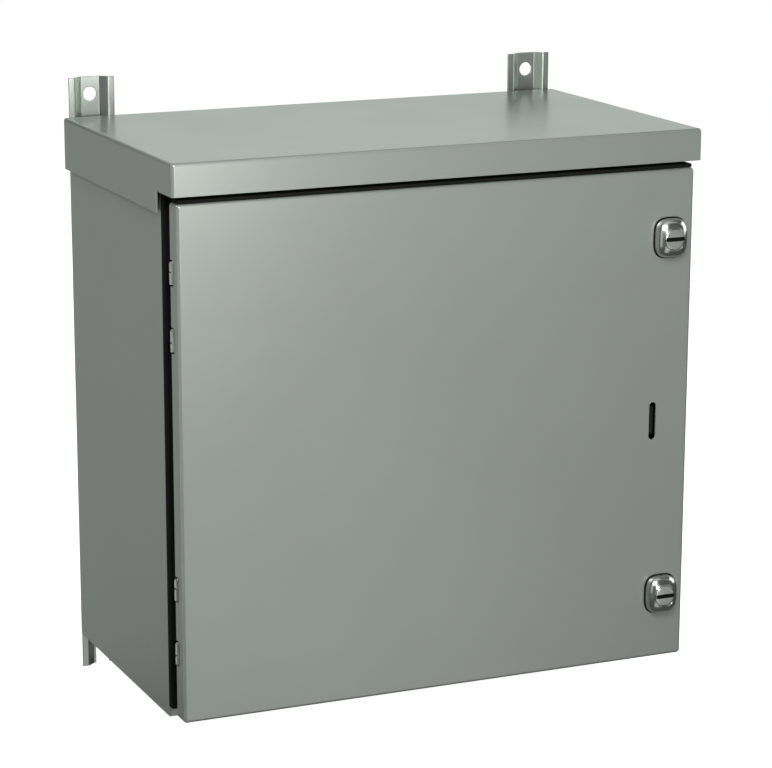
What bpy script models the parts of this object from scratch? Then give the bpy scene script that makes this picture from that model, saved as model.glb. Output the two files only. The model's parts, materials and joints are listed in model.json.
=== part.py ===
"""Wall-hung rainproof switchboard cabinet with a drip hood and one hinged door.

Every sub-part is modelled in the door's frame, in metres: X to the right across the door, Y back
from the door's front face, Z up from the door's bottom edge, with X = 0 on the centre line. The
empty "cabinet" then carries the whole object to its origin, the bottom centre of its outer box.
"""
import math

import bmesh
import bpy
from mathutils import Vector

# Driving sizes
BODY_WIDTH = 0.508
DOOR_WIDTH = 0.507
DOOR_HEIGHT = 0.4708
DOOR_DEPTH = 0.01875
BODY_FRONT = 0.0382
BODY_BACK = 0.2975
BODY_DROP = 0.0057
HOOD_HALF_WIDTH = 0.2589
HOOD_FRONT = -0.0031
HOOD_TOP = 0.5072
HOOD_FRONT_SKIRT = 0.0294
HOOD_SIDE_SKIRT = 0.0487
SHEET = 0.0019
BEND = 0.0029
GAP = 0.0003

# Corner radius of the door's and the hood's pressed pans
PAN_CORNER = 0.0032

# Body frame: a return flange turned inwards, then a collar turned forwards into the door pan
COLLAR_INSET = 0.0131
COLLAR_FRONT = 0.008
BODY_TOP = HOOD_TOP - SHEET - 0.0004
COLLAR_X = BODY_WIDTH / 2 - COLLAR_INSET
COLLAR_BOTTOM = 0.0074
COLLAR_TOP = 0.4615
DRAIN_X = 0.12
DRAIN_Y = 0.075
DRAIN_RADIUS = 0.0032

# Rubber: the rain seal in the frame's trough, the door's foam gasket and the strip on its top flange
SEAL_FRONT = 0.0345
SEAL_INSET = 0.0008
SEAL_BOTTOM = 0.0023
SEAL_TOP = 0.482
GASKET_OUTSIDE_COLLAR = 0.0051
GASKET_INSIDE_COLLAR = 0.0035
GASKET_BELOW_COLLAR = 0.0045
STRIP_FRONT = 0.0024
STRIP_BACK = 0.0184
STRIP_HEIGHT = 0.0035
STRIP_INSET = 0.002

# Hinges
HINGE_X = -0.2529
HINGE_Y = 0.0148
HINGE_LENGTH = 0.079
HINGE_CENTRES = {"upper": 0.3788, "lower": 0.0919}
KNUCKLE_RADIUS = 0.0028
KNUCKLE_BORE = 0.0016
OUTER_KNUCKLE = 0.0076
INNER_KNUCKLE = 0.0102
KNUCKLE_GAP = 0.0012
PIN_RADIUS = 0.0013
PIN_HEAD_RADIUS = 0.0021
PIN_HEAD_HEIGHT = 0.0011
PIN_TIP = 0.0006
NOTCH_DEPTH = 0.006
NOTCH_MARGIN = 0.0022
BODY_LEAF_REAR = 0.033
DOOR_LEAF_FRONT = 0.0035
RIB_REAR = 0.0225

# Latches
LATCH_X = 0.2288
LATCH_HEIGHTS = {"upper": 0.4076, "lower": 0.0633}
LATCH_HALF_WIDTH = 0.0159
LATCH_HALF_HEIGHT = 0.0183
LATCH_CORNER_POWER = 3.2
LATCH_DOME_POWER = 2.6
LATCH_FRONT = -0.0125
DOME_FRONT = -0.0129
LATCH_BASE = -0.0015
LATCH_GASKET_MARGIN = 0.001
DRIVER_RADIUS = 0.0102
DRIVER_CROWN = 0.0004
RECESS_FLOOR = -0.005
COIN_SLOT_HALF_LENGTH = 0.0096
COIN_SLOT_HALF_WIDTH = 0.0019
COIN_SLOT_FLOOR = -0.0082
SPINDLE_RADIUS = 0.003
SHANK_RADIUS = 0.0055
SHANK_END = 0.009
LATCH_NUT_END = 0.0068
LATCH_NUT_FLATS = 0.015
CAM_Y = BODY_FRONT + SHEET + 0.0018
CAM_REACH = 0.0205
CAM_HALF_WIDTH = 0.005
CAM_THICKNESS = 0.0025
CAM_NUT_FLATS = 0.0098
CAM_NUT_HEIGHT = 0.003
SPINDLE_END = CAM_Y + CAM_THICKNESS + CAM_NUT_HEIGHT + 0.0012

# Padlock staple and the door slot that it slides out through
STAPLE_X = 0.2162
STAPLE_Z = 0.2336
SLOT_HEIGHT = 0.036
SLOT_WIDTH = 0.007
STAPLE_FRONT = 0.003
STAPLE_LENGTH = 0.067
STAPLE_HALF_THICKNESS = 0.002
STAPLE_HALF_HEIGHT = 0.014
STAPLE_TAIL_HALF_HEIGHT = 0.017
STAPLE_EYE_RADIUS = 0.0048
STAPLE_EYE_INSET = 0.012
GUIDE_FRONT = 0.0205
GUIDE_BACK = 0.034
GUIDE_PLAY = 0.0004
GUIDE_WALL = 0.0018
GUIDE_FOOT_HALF_HEIGHT = 0.022

# Wall brackets
BRACKET_WIDTH = 0.045
BRACKET_FLANGE = 0.00585
BRACKET_WEB = 0.0189
BRACKET_SHEET = 0.002
BRACKET_STANDOFF = 0.006
BRACKET_OUTER_X = 0.253
BRACKET_RISE = 0.037
BRACKET_FALL = 0.035
BRACKET_LAP = 0.06
BRACKET_HOLE = 0.0067
BRACKET_HOLE_INSET = 0.0165
WALL_Y = BODY_BACK + GAP + BRACKET_STANDOFF + BRACKET_SHEET

# Mounting panel and its studs
PANEL_HALF = 0.216
PANEL_Z = (COLLAR_BOTTOM + COLLAR_TOP) / 2
PANEL_BACK = 0.2847
PANEL_RIM = 0.012
STUD_OFFSET = 0.2
STUD_RADIUS = 0.0047
STUD_COLLAR_RADIUS = 0.008
STUD_LENGTH = 0.022
STUD_HOLE_PLAY = 0.0006
PANEL_NUT_FLATS = 0.0145
PANEL_NUT_HEIGHT = 0.0065
NUT_SEAT_RADIUS = 0.0102
NUT_SEAT_DEPTH = 0.0004

# Earth studs: (x, z) of the one on the back wall and the one inside the door
BODY_EARTH = (-0.234, 0.045)
DOOR_EARTH = (-0.205, 0.035)
EARTH_FLANGE_RADIUS = 0.006
EARTH_FLANGE_HEIGHT = 0.0015
EARTH_STUD_RADIUS = 0.003
EARTH_BORE = 0.0033
EARTH_WASHER_RADIUS = 0.0065
EARTH_WASHER_HEIGHT = 0.0012
EARTH_NUT_FLATS = 0.010
EARTH_NUT_HEIGHT = 0.005

# Farther than any edge of the cabinet: the reach of a cutter that runs right through it
FAR = 1.0

# Outline directions for each extrusion axis: across, up, along
DIRECTIONS = {"X": (1, 2, 0), "Y": (0, 2, 1), "Z": (0, 1, 2)}


# ---------------------------------------------------------------- outlines

def arc(centre, radius, start, end, steps):
    """Points along a circular arc, with its angles in degrees."""
    points = []
    for i in range(steps + 1):
        angle = math.radians(start + (end - start) * i / steps)
        points.append((centre[0] + radius * math.cos(angle), centre[1] + radius * math.sin(angle)))
    return points


def circle(centre, radius, count=24):
    return arc(centre, radius, 0, 360, count)[:-1]


def rectangle(u0, u1, v0, v1):
    return [(u0, v0), (u1, v0), (u1, v1), (u0, v1)]


def rounded_rectangle(u0, u1, v0, v1, radius, steps=3):
    return (arc((u1 - radius, v0 + radius), radius, -90, 0, steps)
            + arc((u1 - radius, v1 - radius), radius, 0, 90, steps)
            + arc((u0 + radius, v1 - radius), radius, 90, 180, steps)
            + arc((u0 + radius, v0 + radius), radius, 180, 270, steps))


def hexagon(centre, across_flats, count=24):
    """A hexagon with extra points along its sides, to pair with a round hole of equal count."""
    points = []
    for i in range(count):
        angle = math.tau * i / count
        from_flat = (angle + math.pi / 6) % (math.pi / 3) - math.pi / 6
        radius = across_flats / 2 / math.cos(from_flat)
        points.append((centre[0] + radius * math.cos(angle), centre[1] + radius * math.sin(angle)))
    return points


def superellipse(half_u, half_v, power, count):
    """A rounded square around the origin."""
    points = []
    for i in range(count):
        angle = math.tau * i / count
        cosine, sine = math.cos(angle), math.sin(angle)
        points.append((half_u * math.copysign(abs(cosine) ** (2 / power), cosine),
                       half_v * math.copysign(abs(sine) ** (2 / power), sine)))
    return points


def bent_path(corners, radius, steps=3):
    """An open line through the corners, with each inner corner turned into an arc."""
    path = [Vector(corners[0])]
    for before, corner, after in zip(corners, corners[1:], corners[2:]):
        corner = Vector(corner)
        into = (Vector(before) - corner).normalized()
        out = (Vector(after) - corner).normalized()
        half_angle = into.angle(out) / 2
        bisector = (into + out).normalized()
        centre = corner + bisector * (radius / math.sin(half_angle))
        first = corner + into * (radius / math.tan(half_angle)) - centre
        last = corner + out * (radius / math.tan(half_angle)) - centre
        for i in range(steps + 1):
            path.append(centre + first.slerp(last, i / steps).normalized() * radius)
    path.append(Vector(corners[-1]))
    return path


def sheet_outline(path, thickness):
    """The closed outline of a sheet of even thickness that follows an open line."""
    left, right = [], []
    for i, point in enumerate(path):
        point = Vector(point)
        before = (point - Vector(path[i - 1])).normalized() if i else None
        after = (Vector(path[i + 1]) - point).normalized() if i + 1 < len(path) else None
        tangent = ((before or after) + (after or before)).normalized()
        normal = Vector((-tangent.y, tangent.x))
        stretch = 1 / tangent.dot(before or after)
        left.append(point + normal * (thickness / 2 * stretch))
        right.append(point - normal * (thickness / 2 * stretch))
    return left + right[::-1]


# ---------------------------------------------------------------- solids

def place(axis, point, depth):
    """A 3D point from an outline point and its depth along the axis."""
    across, up, along = DIRECTIONS[axis]
    spot = Vector((0.0, 0.0, 0.0))
    spot[across], spot[up], spot[along] = point[0], point[1], depth
    return spot


def loft(rings):
    """A closed solid through rings of equal count, capped at both ends."""
    bm = bmesh.new()
    loops = [[bm.verts.new(point) for point in ring] for ring in rings]
    bm.faces.new(loops[0])
    bm.faces.new(loops[-1])
    count = len(loops[0])
    for low, high in zip(loops, loops[1:]):
        for i in range(count):
            j = (i + 1) % count
            bm.faces.new((low[i], low[j], high[j], high[i]))
    return bm


def prism(outline, axis, low, high):
    return loft([[place(axis, point, depth) for point in outline] for depth in (low, high)])


def box(x0, x1, y0, y1, z0, z1):
    return prism(rectangle(x0, x1, y0, y1), "Z", z0, z1)


def ring_prism(outer, inner, axis, low, high):
    """A prism with a hole through it; both outlines have the same count of points."""
    bm = bmesh.new()
    loops = [[bm.verts.new(place(axis, point, depth)) for point in outline]
             for outline, depth in ((outer, low), (outer, high), (inner, high), (inner, low))]
    count = len(outer)
    for side in range(4):
        first, second = loops[side], loops[(side + 1) % 4]
        for i in range(count):
            j = (i + 1) % count
            bm.faces.new((first[i], first[j], second[j], second[i]))
    return bm


def turned(profile, axis, centre, count=24):
    """A turned solid from (radius, depth) pairs."""
    return loft([[place(axis, point, depth) for point in circle(centre, radius, count)]
                 for radius, depth in profile])


def pan(u0, u1, v0, v1, axis, open_end, closed_end, corner, bend):
    """A block whose closed end has rounded edges all round, as a bent sheet pan has."""
    toward = math.copysign(1, closed_end - open_end)
    levels = [(0.0, open_end)]
    for angle in (0, 30, 60, 90):
        turn = math.radians(angle)
        inset = bend * (1 - math.cos(turn))
        levels.append((inset, closed_end - toward * bend * (1 - math.sin(turn))))
    rings = []
    for inset, depth in levels:
        outline = rounded_rectangle(u0 + inset, u1 - inset, v0 + inset, v1 - inset, corner - inset)
        rings.append([place(axis, point, depth) for point in outline])
    return loft(rings)


# ---------------------------------------------------------------- objects

def make(name, bm, material=None):
    bmesh.ops.recalc_face_normals(bm, faces=bm.faces)
    mesh = bpy.data.meshes.new(name)
    bm.to_mesh(mesh)
    bm.free()
    obj = bpy.data.objects.new(name, mesh)
    bpy.context.scene.collection.objects.link(obj)
    if material:
        mesh.materials.append(material)
    return obj


def combine(target, bm, operation):
    """Cut a solid out of the target or join one to it."""
    tool = make("tool", bm)
    modifier = target.modifiers.new(operation.title(), "BOOLEAN")
    modifier.operation = operation
    modifier.object = tool
    graph = bpy.context.evaluated_depsgraph_get()
    result = bpy.data.meshes.new_from_object(target.evaluated_get(graph))
    target.modifiers.clear()
    target.data = result
    bpy.data.objects.remove(tool)


def cut(target, bm):
    combine(target, bm, "DIFFERENCE")


def join(target, bm):
    combine(target, bm, "UNION")


def pivot(name, spot, parent=None):
    """An empty on a joint's axis; its children stay modelled in the door's frame."""
    empty = bpy.data.objects.new(name, None)
    empty.empty_display_size = 0.03
    bpy.context.scene.collection.objects.link(empty)
    empty["spot"] = spot
    attach(empty, parent)
    empty.location += Vector(spot)
    return empty


def attach(obj, parent):
    if parent is None:
        return
    obj.parent = parent
    obj.location = -Vector(parent["spot"])


def paint(name, colour, roughness, metallic):
    material = bpy.data.materials.new(name)
    material.use_nodes = True
    shader = material.node_tree.nodes["Principled BSDF"]
    shader.inputs["Base Color"].default_value = (*colour, 1.0)
    shader.inputs["Roughness"].default_value = roughness
    shader.inputs["Metallic"].default_value = metallic
    material.diffuse_color = (*colour, 1.0)
    return material


# ---------------------------------------------------------------- body

def body_side(name, side, material):
    """One side wall: it turns in at the front, then forward as the collar."""
    wall = BODY_WIDTH / 2 - SHEET / 2
    inner = COLLAR_X - SHEET / 2
    returned = BODY_FRONT + SHEET / 2
    path = bent_path([(side * wall, BODY_BACK), (side * wall, returned),
                      (side * inner, returned), (side * inner, COLLAR_FRONT)], BEND - SHEET / 2)
    obj = make(name, prism(sheet_outline(path, SHEET), "Z", -BODY_DROP, BODY_TOP), material)
    # The collar stops short of the frame's top and bottom corners, where the wrapper's collar runs
    for low, high in ((-FAR, COLLAR_BOTTOM), (COLLAR_TOP, FAR)):
        cut(obj, box(-FAR, FAR, -FAR, BODY_FRONT - GAP, low, high))
    # The rear corners follow the wrapper's bends
    for edge, toward in ((-BODY_DROP, -1), (BODY_TOP, 1)):
        cut(obj, corner_cutter(edge, toward))
    return obj


def corner_cutter(edge, toward):
    """What a rounded rear corner leaves outside it, at the bottom or the top of the side."""
    radius = BEND
    centre = (BODY_BACK - radius, edge - toward * radius)
    rim = arc(centre, radius, 0, toward * 90, 4)
    outline = rim + [(centre[0], edge + toward * 0.01), (BODY_BACK + 0.01, edge + toward * 0.01),
                     (BODY_BACK + 0.01, centre[1])]
    return prism(outline, "X", -FAR, FAR)


def body_wrapper(material):
    """One sheet wraps the top, back and bottom; both its ends form the frame's collar."""
    half = SHEET / 2
    returned = BODY_FRONT + half
    back = BODY_BACK - half
    top = BODY_TOP - half
    bottom = -BODY_DROP + half
    corners = [(COLLAR_FRONT, COLLAR_TOP - half), (returned, COLLAR_TOP - half), (returned, top),
               (back, top), (back, bottom), (returned, bottom),
               (returned, COLLAR_BOTTOM + half), (COLLAR_FRONT, COLLAR_BOTTOM + half)]
    path = bent_path(corners, BEND - half)
    half_width = BODY_WIDTH / 2 - SHEET - GAP
    obj = make("body_wrapper", prism(sheet_outline(path, SHEET), "X", -half_width, half_width), material)
    # The side walls' returns and collars take the front corners
    reach = BODY_FRONT + BEND + GAP
    for side in (-1, 1):
        edges = sorted((side * (COLLAR_X - SHEET - GAP), side * FAR))
        cut(obj, box(*edges, -FAR, reach, -FAR, FAR))
        cut(obj, turned([(DRAIN_RADIUS, -0.05), (DRAIN_RADIUS, 0.004)], "Z", (side * DRAIN_X, DRAIN_Y), 12))
    return obj


def frame_seal(material):
    """A black rain seal that lies in the trough between the collar and the side walls."""
    edge = BODY_WIDTH / 2 - SEAL_INSET
    outer = rounded_rectangle(-edge, edge, SEAL_BOTTOM, SEAL_TOP, 0.002, 2)
    clear = BEND - SHEET + GAP
    inner_x = COLLAR_X + clear
    inner = rounded_rectangle(-inner_x, inner_x, COLLAR_BOTTOM - clear, COLLAR_TOP + clear, 0.0005, 2)
    return make("frame_seal", ring_prism(outer, inner, "Y", SEAL_FRONT, BODY_FRONT - GAP), material)


def drip_hood(material):
    """The rain hood: a pan over the body with a low front skirt and deeper side skirts."""
    half = HOOD_HALF_WIDTH
    skirt = HOOD_TOP - HOOD_SIDE_SKIRT
    past_back = BODY_BACK + 0.03
    obj = make("drip_hood", pan(-half, half, HOOD_FRONT, past_back, "Z", skirt, HOOD_TOP, PAN_CORNER,
                                BEND), material)
    cut(obj, pan(-half + SHEET, half - SHEET, HOOD_FRONT + SHEET, past_back - SHEET, "Z",
                 skirt - 0.01, HOOD_TOP - SHEET, PAN_CORNER - SHEET, BEND - SHEET))
    cut(obj, box(-FAR, FAR, BODY_BACK, FAR, -FAR, FAR))
    cut(obj, box(-FAR, FAR, -FAR, BODY_FRONT, -FAR, HOOD_TOP - HOOD_FRONT_SKIRT))
    return obj


def wall_bracket(name, side, top, material):
    """A hat-section strap on the back, with a hole above the hood or an open slot below the body."""
    flange_y = BODY_BACK + GAP + BRACKET_SHEET / 2
    web_y = WALL_Y - BRACKET_SHEET / 2
    centre = BRACKET_OUTER_X - BRACKET_WIDTH / 2
    half_web = BRACKET_WEB / 2
    half = BRACKET_WIDTH / 2
    corners = [(-half, flange_y), (-half + BRACKET_FLANGE, flange_y), (-half_web, web_y),
               (half_web, web_y), (half - BRACKET_FLANGE, flange_y), (half, flange_y)]
    path = [point + Vector((side * centre, 0.0)) for point in bent_path(corners, 0.002, 2)]
    if top:
        low, high = HOOD_TOP - BRACKET_LAP, HOOD_TOP + BRACKET_RISE
    else:
        low, high = -BODY_DROP - BRACKET_FALL, -BODY_DROP + BRACKET_LAP
    obj = make(name, prism(sheet_outline(path, BRACKET_SHEET), "Z", low, high), material)
    hole_z = high - BRACKET_HOLE_INSET if top else low + BRACKET_HOLE_INSET
    cut(obj, turned([(BRACKET_HOLE, BODY_BACK - 0.01), (BRACKET_HOLE, WALL_Y + 0.01)], "Y",
                    (side * centre, hole_z), 32))
    if not top:
        edge = BRACKET_HOLE
        cut(obj, box(side * centre - edge, side * centre + edge, web_y - 0.004, WALL_Y + 0.01,
                     low - 0.01, hole_z))
    return obj


# ---------------------------------------------------------------- door

def door_panel(material):
    """A sheet pan with the hinge notches, the latch holes and the padlock slot."""
    half = DOOR_WIDTH / 2
    obj = make("door_panel", pan(-half, half, 0.0, DOOR_HEIGHT, "Y", DOOR_DEPTH, 0.0, PAN_CORNER, BEND),
               material)
    cut(obj, pan(-half + SHEET, half - SHEET, SHEET, DOOR_HEIGHT - SHEET, "Y", DOOR_DEPTH + 0.01,
                 SHEET, PAN_CORNER - SHEET, BEND - SHEET))
    for centre in HINGE_CENTRES.values():
        for low, high in hinge_pairs(centre):
            cut(obj, box(-half - 0.01, -half + NOTCH_DEPTH, HINGE_Y - KNUCKLE_RADIUS - 0.0005,
                         DOOR_DEPTH + 0.01, low - NOTCH_MARGIN, high + NOTCH_MARGIN))
    for height in LATCH_HEIGHTS.values():
        radius = SHANK_RADIUS + GAP
        cut(obj, turned([(radius, -0.01), (radius, 0.01)], "Y", (LATCH_X, height)))
    cut(obj, prism(obround(STAPLE_X, STAPLE_Z, SLOT_WIDTH, SLOT_HEIGHT), "Y", -0.01, 0.01))
    return obj


def obround(u, v, width, height):
    """A tall slot with round ends."""
    radius = width / 2
    straight = height / 2 - radius
    return arc((u, v + straight), radius, 0, 180, 8) + arc((u, v - straight), radius, 180, 360, 8)


def door_gasket(material):
    """A foam ring inside the door that the collar's front edge presses."""
    inner_x = COLLAR_X - SHEET - 0.0001
    outer_x = COLLAR_X + GASKET_OUTSIDE_COLLAR
    outer = rounded_rectangle(-outer_x, outer_x, COLLAR_BOTTOM - GASKET_BELOW_COLLAR,
                              COLLAR_TOP + GASKET_BELOW_COLLAR, 0.006)
    inner = rounded_rectangle(-inner_x, inner_x, COLLAR_BOTTOM + GASKET_INSIDE_COLLAR,
                              COLLAR_TOP - GASKET_INSIDE_COLLAR, 0.002)
    return make("door_gasket", ring_prism(outer, inner, "Y", SHEET + GAP, COLLAR_FRONT - GAP), material)


def door_top_seal(material):
    """A black strip on the door's top flange that closes the gap under the hood."""
    half = DOOR_WIDTH / 2 - STRIP_INSET
    low = DOOR_HEIGHT + GAP
    outline = rounded_rectangle(STRIP_FRONT, STRIP_BACK, low, low + STRIP_HEIGHT, 0.0012, 2)
    return make("door_top_seal", prism(outline, "X", -half, half), material)


# ---------------------------------------------------------------- hinges

def hinge_pairs(centre):
    """The bottom and top of the two knuckle pairs of one hinge."""
    pair = OUTER_KNUCKLE + KNUCKLE_GAP + INNER_KNUCKLE
    low, high = centre - HINGE_LENGTH / 2, centre + HINGE_LENGTH / 2
    return (low, low + pair), (high - pair, high)


def curl(start, end, tail):
    """The outline of a sheet rolled round the pin, from its tail to its free edge."""
    middle = (KNUCKLE_RADIUS + KNUCKLE_BORE) / 2
    path = tail + arc((HINGE_X, HINGE_Y), middle, start, end, 14)
    return sheet_outline(path, KNUCKLE_RADIUS - KNUCKLE_BORE)


def hinge_body_leaf(name, centre, material):
    """The fixed leaf: a strip on the collar with an arm and a knuckle at each end."""
    thickness = KNUCKLE_RADIUS - KNUCKLE_BORE
    strip_x = -COLLAR_X - GAP - thickness / 2
    arm_y = HINGE_Y + KNUCKLE_RADIUS - thickness / 2
    low, high = centre - HINGE_LENGTH / 2, centre + HINGE_LENGTH / 2
    outline = curl(90, 350, [(strip_x, BODY_LEAF_REAR), (strip_x, arm_y)])
    obj = make(name, prism(outline, "Z", low, low + OUTER_KNUCKLE), material)
    join(obj, prism(outline, "Z", high - OUTER_KNUCKLE, high))
    join(obj, box(strip_x - thickness / 2, strip_x + thickness / 2, arm_y + 0.001, BODY_LEAF_REAR,
                  low, high))
    return obj


def hinge_door_leaf(name, centre, material):
    """The moving leaf: a strip inside the door's flange with a knuckle at each end."""
    thickness = KNUCKLE_RADIUS - KNUCKLE_BORE
    strip_x = HINGE_X + KNUCKLE_RADIUS - thickness / 2
    low = centre - HINGE_LENGTH / 2 + OUTER_KNUCKLE + KNUCKLE_GAP
    high = centre + HINGE_LENGTH / 2 - OUTER_KNUCKLE - KNUCKLE_GAP
    outline = curl(0, 260, [(strip_x, DOOR_LEAF_FRONT)])
    obj = make(name, prism(outline, "Z", low, low + INNER_KNUCKLE), material)
    join(obj, prism(outline, "Z", high - INNER_KNUCKLE, high))
    edges = (strip_x - thickness / 2, strip_x + thickness / 2)
    join(obj, box(*edges, DOOR_LEAF_FRONT, HINGE_Y - 0.0026, low, high))
    rib = 0.003 + INNER_KNUCKLE
    join(obj, box(*edges, HINGE_Y - 0.005, RIB_REAR, low + rib, high - rib))
    return obj


def hinge_pin(name, low, high, material):
    """A headed pin through one pair of knuckles."""
    head, seat = PIN_HEAD_RADIUS, high + GAP
    profile = [(PIN_RADIUS - 0.0004, low - PIN_TIP), (PIN_RADIUS, low - 0.0001), (PIN_RADIUS, seat),
               (head, seat), (head, seat + 0.0006), (head - 0.0005, seat + PIN_HEAD_HEIGHT)]
    return make(name, turned(profile, "Z", (HINGE_X, HINGE_Y), 16), material)


# ---------------------------------------------------------------- latches

def latch_cap(name, height, material):
    """A domed cap on the door's face, with a recess for the driver and a hollow shank behind."""
    rings = []
    for angle in (0, 15, 32, 50, 68, 82):
        turn = math.radians(angle)
        scale = math.cos(turn) ** (2 / LATCH_DOME_POWER)
        rise = math.sin(turn) ** (2 / LATCH_DOME_POWER)
        outline = superellipse(LATCH_HALF_WIDTH * scale, LATCH_HALF_HEIGHT * scale, LATCH_CORNER_POWER, 32)
        depth = LATCH_BASE + (DOME_FRONT - LATCH_BASE) * rise
        rings.append([place("Y", (LATCH_X + u, height + v), depth) for u, v in outline])
    centre = (LATCH_X, height)
    obj = make(name, loft(rings), material)
    join(obj, turned([(SHANK_RADIUS, -0.004), (SHANK_RADIUS, SHANK_END)], "Y", centre))
    recess = DRIVER_RADIUS + GAP
    cut(obj, turned([(recess, -FAR), (recess, RECESS_FLOOR)], "Y", centre, 32))
    bore = SPINDLE_RADIUS + GAP
    cut(obj, turned([(bore, -FAR), (bore, FAR)], "Y", centre))
    return obj


def latch_gasket(name, height, material):
    """A thin black gasket that shows as a line round the cap."""
    outline = superellipse(LATCH_HALF_WIDTH + LATCH_GASKET_MARGIN, LATCH_HALF_HEIGHT + LATCH_GASKET_MARGIN,
                           LATCH_CORNER_POWER, 32)
    outer = [(LATCH_X + u, height + v) for u, v in outline]
    inner = circle((LATCH_X, height), SHANK_RADIUS + GAP, 32)
    return make(name, ring_prism(outer, inner, "Y", LATCH_BASE + GAP, -GAP), material)


def latch_driver(name, height, material):
    """The slotted driver, a nearly flat disc in the cap, on a long spindle that carries the cam."""
    rim = LATCH_FRONT + DRIVER_CROWN
    back = RECESS_FLOOR - GAP
    profile = [(0.003, LATCH_FRONT), (DRIVER_RADIUS - 0.0015, rim - DRIVER_CROWN / 3),
               (DRIVER_RADIUS - 0.0004, rim), (DRIVER_RADIUS, rim + 0.0004), (DRIVER_RADIUS, back),
               (SPINDLE_RADIUS, back), (SPINDLE_RADIUS, SPINDLE_END)]
    obj = make(name, turned(profile, "Y", (LATCH_X, height)), material)
    cut(obj, prism(rounded_rectangle(LATCH_X - COIN_SLOT_HALF_LENGTH, LATCH_X + COIN_SLOT_HALF_LENGTH,
                                     height - COIN_SLOT_HALF_WIDTH, height + COIN_SLOT_HALF_WIDTH,
                                     COIN_SLOT_HALF_WIDTH - 0.0001), "Y", -FAR, COIN_SLOT_FLOOR))
    return obj


def latch_nut(name, height, material):
    """The nut that clamps the cap to the door."""
    centre = (LATCH_X, height)
    return make(name, ring_prism(hexagon(centre, LATCH_NUT_FLATS), circle(centre, SHANK_RADIUS + GAP),
                                 "Y", SHEET + GAP, LATCH_NUT_END), material)


def latch_cam(name, height, material):
    """The flat cam, hanging down when the latch is free."""
    half = CAM_HALF_WIDTH
    outline = (arc((LATCH_X, height), half + 0.001, 0, 180, 10)
               + arc((LATCH_X, height - CAM_REACH + half), half, 180, 360, 8))
    obj = make(name, prism(outline, "Y", CAM_Y, CAM_Y + CAM_THICKNESS), material)
    bore = SPINDLE_RADIUS + GAP
    cut(obj, turned([(bore, -FAR), (bore, FAR)], "Y", (LATCH_X, height)))
    return obj


def latch_cam_nut(name, height, material):
    centre = (LATCH_X, height)
    low = CAM_Y + CAM_THICKNESS + GAP
    return make(name, ring_prism(hexagon(centre, CAM_NUT_FLATS), circle(centre, SPINDLE_RADIUS + GAP), "Y",
                                 low, low + CAM_NUT_HEIGHT), material)


# ---------------------------------------------------------------- padlock staple

def padlock_staple(material):
    """A flat tongue with a padlock eye; its taller tail stops it in the guide."""
    left, right = STAPLE_X - STAPLE_HALF_THICKNESS, STAPLE_X + STAPLE_HALF_THICKNESS
    back = STAPLE_FRONT + STAPLE_LENGTH
    tongue = rounded_rectangle(STAPLE_FRONT, back, STAPLE_Z - STAPLE_HALF_HEIGHT,
                               STAPLE_Z + STAPLE_HALF_HEIGHT, 0.003)
    obj = make("padlock_staple", prism(tongue, "X", left, right), material)
    join(obj, box(left, right, back - 0.005, back - 0.0005, STAPLE_Z - STAPLE_TAIL_HALF_HEIGHT,
                  STAPLE_Z + STAPLE_TAIL_HALF_HEIGHT))
    cut(obj, turned([(STAPLE_EYE_RADIUS, -FAR), (STAPLE_EYE_RADIUS, FAR)], "X",
                    (STAPLE_FRONT + STAPLE_EYE_INSET, STAPLE_Z)))
    return obj


def staple_guide(material):
    """A folded sleeve on the collar that the staple slides in."""
    bore_x = STAPLE_HALF_THICKNESS + GUIDE_PLAY
    bore_z = STAPLE_HALF_HEIGHT + GUIDE_PLAY
    foot_x = COLLAR_X - SHEET - GAP
    obj = make("staple_guide", box(STAPLE_X - bore_x - GUIDE_WALL, STAPLE_X + bore_x + GUIDE_WALL,
                                   GUIDE_FRONT, GUIDE_BACK, STAPLE_Z - bore_z - GUIDE_WALL,
                                   STAPLE_Z + bore_z + GUIDE_WALL), material)
    join(obj, box(STAPLE_X, foot_x, GUIDE_FRONT + 0.0001, GUIDE_BACK - 0.0001,
                  STAPLE_Z - GUIDE_WALL / 2, STAPLE_Z + GUIDE_WALL / 2))
    join(obj, box(foot_x - GUIDE_WALL, foot_x, GUIDE_FRONT - 0.0001, GUIDE_BACK + 0.0001,
                  STAPLE_Z - GUIDE_FOOT_HALF_HEIGHT, STAPLE_Z + GUIDE_FOOT_HALF_HEIGHT))
    cut(obj, box(STAPLE_X - bore_x, STAPLE_X + bore_x, -FAR, FAR, STAPLE_Z - bore_z, STAPLE_Z + bore_z))
    return obj


# ---------------------------------------------------------------- inside

def mounting_panel(material):
    """The flat equipment panel, with a stiffening rim down each side and a pressed seat for each nut."""
    middle = PANEL_BACK - SHEET / 2
    rim = PANEL_BACK - PANEL_RIM
    edge = PANEL_HALF - SHEET / 2
    path = bent_path([(-edge, rim), (-edge, middle), (edge, middle), (edge, rim)], BEND - SHEET / 2)
    obj = make("mounting_panel", prism(sheet_outline(path, SHEET), "Z", PANEL_Z - PANEL_HALF,
                                       PANEL_Z + PANEL_HALF), material)
    for x, z in stud_places():
        radius = STUD_RADIUS + STUD_HOLE_PLAY
        cut(obj, turned([(radius, -FAR), (radius, FAR)], "Y", (x, z)))
        seat = PANEL_BACK - SHEET + NUT_SEAT_DEPTH
        cut(obj, turned([(NUT_SEAT_RADIUS, seat - 0.005), (NUT_SEAT_RADIUS, seat)], "Y", (x, z)))
    return obj


def stud_places():
    return [(x, PANEL_Z + z) for z in (-STUD_OFFSET, STUD_OFFSET) for x in (-STUD_OFFSET, STUD_OFFSET)]


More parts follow.
